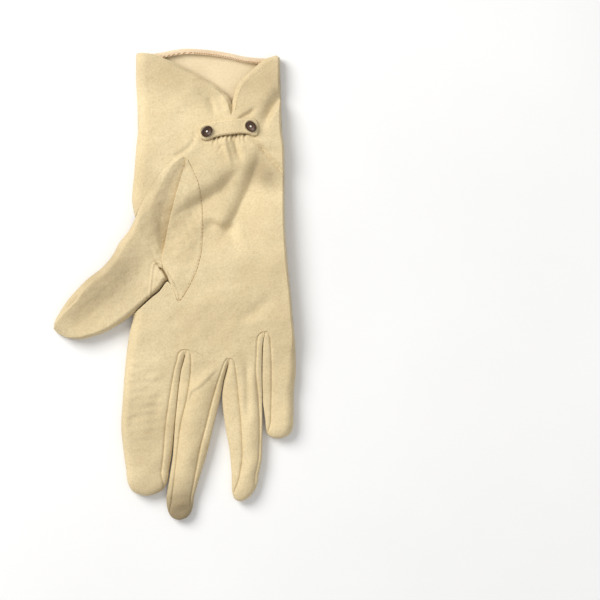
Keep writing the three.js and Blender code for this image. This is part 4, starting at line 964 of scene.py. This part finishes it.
def strap_top(x, y):
    """Upper face of the strap: thin at its rounded edge, with a low rim round each button."""
    high, low = read(STRAP, "high", x), read(STRAP, "low", x)
    edge = np.minimum(np.minimum(y - low, high - y), np.minimum(x - STRAP["x"][0], STRAP["x"][-1] - x))
    top = strap_base(x, y) + STRAP_EDGE + (STRAP_WALL - STRAP_EDGE) * rounded(np.maximum(edge, 0) + 0.02, 0.9)
    for button_x, button_y, _, _ in BUTTONS.values():
        away = np.hypot(x - button_x, y - button_y)
        top = top + BUTTON_RIM * np.exp(-(((away - BUTTON_RADIUS - 0.5) / 0.45) ** 2))
    return top


def strap_shell():
    """The strap over the gathers."""
    shell = Shell(STRAP_BULGE)
    along, across = (eased(np.linspace(0, 1, steps + 1)) for steps in STRAP_STEPS)
    x = lerp(STRAP["x"][0], STRAP["x"][-1], along)[:, None]
    y = lerp(read(STRAP, "high", x), read(STRAP, "low", x), across)
    x = x + 0 * y
    shell.grid(*[np.stack([x, y, face(x, y)], -1) for face in (strap_top, strap_base)], flip=True)
    return shell


def turned_faces(rings, steps):
    """Faces of a turned body whose vertices are its first pole, that many rings, and its last pole."""
    faces = []
    last = 1 + rings * steps
    for i in range(steps):
        j = (i + 1) % steps
        faces.append([0, 1 + j, 1 + i])
        for low in range(1, last - steps, steps):
            faces.append([low + i, low + j, low + steps + j, low + steps + i])
        faces.append([last, last - steps + i, last - steps + j])
    return faces


def button_piece(name):
    """An oval domed button: a dark rolled rim, a brown dished ring, a dark pit and a small pearl."""
    x, y, turn, tilt = BUTTONS[name]
    angles = np.linspace(0.1, math.pi / 2, 9)
    pearl = [(PEARL_RADIUS * math.cos(a), PEARL_LEVEL + PEARL_RADIUS * math.sin(a)) for a in angles]
    line = BUTTON_LINE + pearl[:-1]
    around = np.linspace(0, 2 * math.pi, BUTTON_STEPS, endpoint=False)
    rings = [(r * math.cos(a), r * math.sin(a), z) for r, z in line for a in around]
    points = np.array([(0, 0, 0), *rings, (0, 0, pearl[-1][1])]) * [*BUTTON_OVAL, 1]
    # Materials up each slice: rim, ring, pit and pearl
    kinds = ([0] * 9 + [2] * 3 + [0] * 2 + [1] * 8) * BUTTON_STEPS
    spin = Matrix.Rotation(math.radians(turn), 3, "Z") @ Matrix.Rotation(math.radians(tilt), 3, "X")
    base = strap_base(np.array([x - 3, x, x + 3, x]), np.array([y, y - 3, y, y + 3]))
    points = (points @ np.array(spin).T + [x, y, np.max(base) + STRAP_WALL + BUTTON_LIFT]) * MM
    faces = turned_faces(len(line), BUTTON_STEPS)
    return make_object(name + "_face", points, faces, [BUTTON, PEARL, RING], kinds, 60)


def threads(name, runs, radius, material):
    """Short threads, each a capsule between two points."""
    points, faces = [], []
    angles = np.linspace(0, 2 * np.pi, THREAD_SIDES, endpoint=False)
    capsule = turned_faces(len(THREAD_LINE), THREAD_SIDES)
    for start, end in runs:
        along = unit(end - start)
        side = unit(np.cross(along, (0, 0, 1)))
        up = np.cross(side, along)
        faces += [[len(points) + v for v in face] for face in capsule]
        points.append(start)
        for share, width in THREAD_LINE:
            middle = lerp(start, end, share)
            points += [middle + radius * width * (side * math.cos(a) + up * math.sin(a)) for a in angles]
        points.append(end)
    return make_object(name, np.array(points) * MM, faces, [material])


def stitch_runs(line, pitch, length, lift):
    """Places of stitches along a line of points: one each pitch, as long as length."""
    line = np.array(line, float)
    steps = np.linalg.norm(np.diff(line, axis=0), axis=1)
    done = np.concatenate([[0], np.cumsum(steps)])
    starts = np.arange(0.4, done[-1] - length, pitch)
    ends = [np.stack([np.interp(starts + d, done, line[:, k]) for k in range(3)], -1) for d in (0, length)]
    return list(zip(*(end + [0, 0, lift] for end in ends)))


def hem_runs():
    """Whip stitches across the turned hem of the back."""
    columns = np.linspace(0.8, 11.2, 54)
    upper = cuff_points(False, columns, 0.95, None, HEM_WALL + 0.08)
    lower = cuff_points(False, columns + 0.14, HEM_WIDTH, None, HEM_WALL + 0.08)
    return list(zip(upper, lower))


def strap_line(edge, inward):
    """A line on the strap, that far in from its high or low edge."""
    x = np.linspace(22.0, 37.5, 60)
    y = read(STRAP, edge, x) + inward
    return np.stack([x, y, strap_top(x, y)], -1)


def srgb(*channels):
    """Linear colour from an 8-bit display colour."""
    shares = [channel / 255 for channel in channels]
    return (*[s / 12.92 if s <= 0.04045 else ((s + 0.055) / 1.055) ** 2.4 for s in shares], 1)


class Nodes:
    """Short calls that add shader nodes to a material."""

    def __init__(self, name):
        self.material = bpy.data.materials.new(name)
        self.material.use_nodes = True
        self.tree = self.material.node_tree
        self.shader = self.tree.nodes["Principled BSDF"]
        self.place = self.add("TexCoord", {}).outputs["Object"]

    def add(self, kind, inputs, **settings):
        """Adds a node. Each input is a value or another node's output."""
        node = self.tree.nodes.new("ShaderNode" + kind)
        for name, value in settings.items():
            setattr(node, name, value)
        for name, value in inputs.items():
            self.give(name, value, node)
        return node

    def give(self, name, value, node=None):
        """Sets or links an input of a node, or else of the shader."""
        node = node or self.shader
        if isinstance(value, bpy.types.NodeSocket):
            self.tree.links.new(value, node.inputs[name])
        else:
            node.inputs[name].default_value = value

    def noise(self, scale, detail, roughness, vector=None, distortion=0.0):
        inputs = {"Scale": scale, "Detail": detail, "Roughness": roughness, "Distortion": distortion}
        return self.add("TexNoise", {**inputs, "Vector": vector or self.place}).outputs["Fac"]

    def ramp(self, factor, *stops):
        """Two colours or greys, each at its position."""
        node = self.add("ValToRGB", {"Fac": factor})
        for element, (position, value) in zip(node.color_ramp.elements, stops):
            element.position = position
            element.color = value if isinstance(value, tuple) else (value, value, value, 1)
        return node.outputs["Color"]

    def math(self, kind, a, b):
        return self.add("Math", {0: a, 1: b}, operation=kind).outputs[0]

    def blend(self, mask, share, a, b, kind="MIX"):
        """Goes from a to b by a mask and a share of it."""
        factor = self.math("MULTIPLY", mask, share)
        return self.add("Mix", {0: factor, 6: a, 7: b}, data_type="RGBA", blend_type=kind).outputs[2]

    def spot(self, x, y, reach):
        """1 at a point of the plan, fading to 0 at its reach."""
        centre = (x * MM, y * MM, PAINTED_SHADE_LEVEL * MM)
        away = self.add("VectorMath", {0: self.place, 1: centre}, operation="DISTANCE").outputs["Value"]
        return self.ramp(self.math("MULTIPLY", away, 1 / (reach * MM)), (0.35, 1.0), (1.0, 0.0))

    def bump(self, height, distance, strength):
        node = self.add("Bump", {"Strength": strength, "Distance": distance, "Height": height})
        self.give("Normal", node.outputs["Normal"])


def leather_material(name, light, warm, deep, grain=1.0):
    """Matte suede-like faux leather: mottled colour, fine grain, short wrinkles and a few patches of painted
    shade.
    """
    made = Nodes(name)
    deep = srgb(*deep)
    colour = made.ramp(made.noise(45, 4, 0.6), (0.35, srgb(*light)), (0.68, srgb(*warm)))
    fine = made.ramp(made.noise(1000, 2, 0.6), (0.4, 0.0), (0.64, 1.0))
    colour = made.blend(fine, 0.34, colour, deep)
    pits = made.ramp(made.noise(260, 5, 0.65), (0.32, 1.0), (0.43, 0.0))
    colour = made.blend(pits, 0.3, colour, deep)
    broad = made.ramp(made.noise(22, 3, 0.5), (0.42, 0.0), (0.7, 1.0))
    colour = made.blend(broad, 0.22, colour, MOTTLE_AND_SHADE_TINT, "MULTIPLY")
    # Painted shade: each listed patch darkens the colour towards the tint
    for x, y, reach, share in PAINTED_SHADE_SPOTS:
        colour = made.blend(made.spot(x, y, reach), share, colour, MOTTLE_AND_SHADE_TINT, "MULTIPLY")
    made.give("Base Color", colour)
    stretched = made.add("Mapping", {"Scale": (0.45, 1.6, 1.0), "Vector": made.place})
    wrinkles = made.noise(150, 4, 0.6, stretched.outputs["Vector"], 0.6)
    height = made.math("ADD", wrinkles, made.noise(420, 4, 0.6))
    height = made.math("ADD", height, made.math("MULTIPLY", made.noise(1500, 3, 0.6), 0.6))
    made.bump(height, 0.00026 * grain, 0.9)
    made.give("Roughness", made.ramp(made.noise(300, 3, 0.5), (0.3, 0.76), (0.7, 0.92)))
    made.shader.inputs["Specular IOR Level"].default_value = 0.25
    made.shader.inputs["Sheen Weight"].default_value = 0.1
    made.shader.inputs["Sheen Roughness"].default_value = 0.5
    return made.material


def plain_material(name, low, high, rough, grain):
    """A small smooth piece with a slightly uneven tone."""
    made = Nodes(name)
    colour = made.ramp(made.noise(900, 4, 0.6), (0.3, srgb(*low)), (0.7, srgb(*high)))
    made.give("Base Color", colour)
    made.give("Roughness", made.ramp(made.noise(900, 3, 0.5), (0.3, rough[0]), (0.7, rough[1])))
    made.bump(made.noise(1200, 3, 0.6), grain, 0.6)
    return made.material


# Painted shade: darker patches where the thumb, its valley, the fingertips, the flaps and the slopes beside
# the palm's folds lie in shade.
# Each has plan x and y, reach and strength. The same tint also darkens the random broad mottling.
MOTTLE_AND_SHADE_TINT = srgb(210, 207, 204)
PAINTED_SHADE_LEVEL = 8
PAINTED_SHADE_SPOTS = [(3, -119, 20, 1.0), (3, -121, 12, 0.8), (-36, 3, 30, 0.7), (46, 104, 24, 0.4), (-14, -112, 14, 0.25),
        (-58, -22, 20, 0.4), (-8, 112, 18, 0.4), (12, 105, 14, 0.35), (-12, 30, 18, 0.45), (47.5, 59, 9, 0.6),
        (53.5, 56, 9, 0.6), (-22, -75, 26, 0.3), (-11, 53, 12, 0.3)]
LEATHER = leather_material("ivory_leather", (226, 208, 168), (220, 200, 158), (192, 170, 130))
REVERSE = leather_material("ivory_reverse", (233, 217, 182), (229, 211, 175), (211, 190, 154), 0.4)
HEM = leather_material("ivory_hem", (236, 217, 184), (232, 207, 172), (206, 174, 138), 2.2)
HEM_THREAD = plain_material("hem_thread", (146, 104, 68), (180, 134, 94), (0.7, 0.9), 0.00003)
THREAD = plain_material("ivory_thread", (196, 172, 132), (214, 192, 152), (0.7, 0.9), 0.00003)
BUTTON = plain_material("button_brown", (50, 29, 15), (70, 43, 24), (0.34, 0.5), 0.00003)
RING = plain_material("button_ring", (74, 50, 34), (96, 70, 50), (0.4, 0.55), 0.00004)
PEARL = plain_material("button_pearl", (232, 224, 212), (252, 248, 240), (0.12, 0.22), 0.00001)


def paint_hem(piece):
    """Gives the turned hem of the back its own rougher leather."""
    mesh = piece.data
    count = len(mesh.polygons)
    centres, kinds = np.empty(3 * count), np.empty(count, np.int32)
    mesh.polygons.foreach_get("center", centres)
    mesh.polygons.foreach_get("material_index", kinds)
    x, y, z = centres.reshape(-1, 3).T / MM
    turned = (z > HEM_LEVELS[0]) & (z < HEM_LEVELS[1]) & (y > read(BACK_RIM, "y", x) - HEM_WIDTH - HEM_FADE)
    kinds[turned] = len(mesh.materials)
    mesh.materials.append(HEM)
    mesh.polygons.foreach_set("material_index", kinds)


def finish_piece(piece, node):
    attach(piece, "root")
    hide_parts(node)


def make_glove():
    sheet = [LEATHER, REVERSE]
    trank = trank_shell().build("trank_skin", sheet)
    cut_hole(trank)
    paint_hem(trank)
    finish_piece(trank, "trank")
    for left, right in (("index", "middle"), ("middle", "ring"), ("ring", "little")):
        node = f"fourchette_{left}_{right}"
        finish_piece(fork_shell(left, right).build(node + "_skin", sheet), node)
    finish_piece(thumb_shell().build("thumb_skin", sheet), "thumb")
    finish_piece(strap_shell().build("strap_skin", [LEATHER]), "strap")
    for name in BUTTONS:
        finish_piece(button_piece(name), name)
    flap = cuff_points(True, np.linspace(1.0, 11.0, 60), HEM_WIDTH, None, 0)
    seam = [thumb_top(row, np.array([0.99]), 0)[0] for row in np.linspace(0.6, 8.0, 120)]
    strap = [run for line in STRAP_STITCHES for run in stitch_runs(strap_line(*line), 1.7, 0.9, 0.0)]
    for name, runs, radius, material, node in (
        ("cuff_stitches", stitch_runs(flap, STITCH_PITCH, 0.9, 0.02), 0.2, THREAD, "trank"),
        ("hem_stitches", hem_runs(), 0.24, HEM_THREAD, "trank"),
        ("thumb_stitches", stitch_runs(seam, STITCH_PITCH, 1.2, 0.1), 0.2, THREAD, "thumb"),
        ("strap_stitches", strap, 0.13, THREAD, "strap"),
    ):
        finish_piece(threads(name, runs, radius, material), node)


def make_camera():
    """A camera over the middle of the photograph, far enough that it looks straight down everywhere."""
    data = bpy.data.cameras.new("camera")
    data.sensor_width = SENSOR
    data.lens = SENSOR * CAMERA_DISTANCE / (PHOTO_SIZE * PIXEL)
    data.clip_end = 20
    camera = place_object("camera", data)
    middle = PHOTO_SIZE / 2
    centre = ((middle - PHOTO_ORIGIN[0]) * PIXEL, (PHOTO_ORIGIN[1] - middle) * PIXEL, CAMERA_LEVEL)
    camera.location = Vector(centre) * MM + Vector((0, 0, CAMERA_DISTANCE * MM))
    bpy.context.scene.camera = camera


def area_light(name, place, size, power, colour):
    """A round soft light that points at the glove."""
    data = bpy.data.lights.new(name, "AREA")
    data.shape = "DISK"
    data.size = size
    data.energy = power
    data.color = colour
    light = place_object(name, data)
    light.location = place
    light.rotation_euler = (Vector(LIGHT_TARGET) - Vector(place)).to_track_quat("-Z", "Y").to_euler()


def make_room():
    """A plain pale floor and soft light from the upper left."""
    around = ((-1, -1), (1, -1), (1, 1), (-1, 1))
    corners = [(x * FLOOR_REACH, y * FLOOR_REACH, -FLOOR_DROP) for x, y in around]
    floor = make_object("floor", corners, [[0, 1, 2, 3]], [floor_material()])
    area_light("key", (-0.95, 0.8, 1.15), 1.1, 28, (1.0, 0.99, 0.97))
    area_light("fill", (0.4, -0.3, 1.6), 1.6, 5, (1.0, 1.0, 1.0))
    world = bpy.data.worlds.new("room")
    world.use_nodes = True
    background = world.node_tree.nodes["Background"]
    background.inputs["Color"].default_value = (1.0, 1.0, 1.0, 1)
    background.inputs["Strength"].default_value = 0.42
    bpy.context.scene.world = world
    bpy.context.scene.view_settings.view_transform = "Standard"


def floor_material():
    made = Nodes("floor_white")
    tone = made.ramp(made.noise(6, 3, 0.5), (0.3, (0.86, 0.86, 0.86, 1)), (0.7, (0.9, 0.9, 0.9, 1)))
    made.give("Base Color", tone)
    made.shader.inputs["Roughness"].default_value = 0.9
    return made.material


make_camera()
make_room()
make_glove()
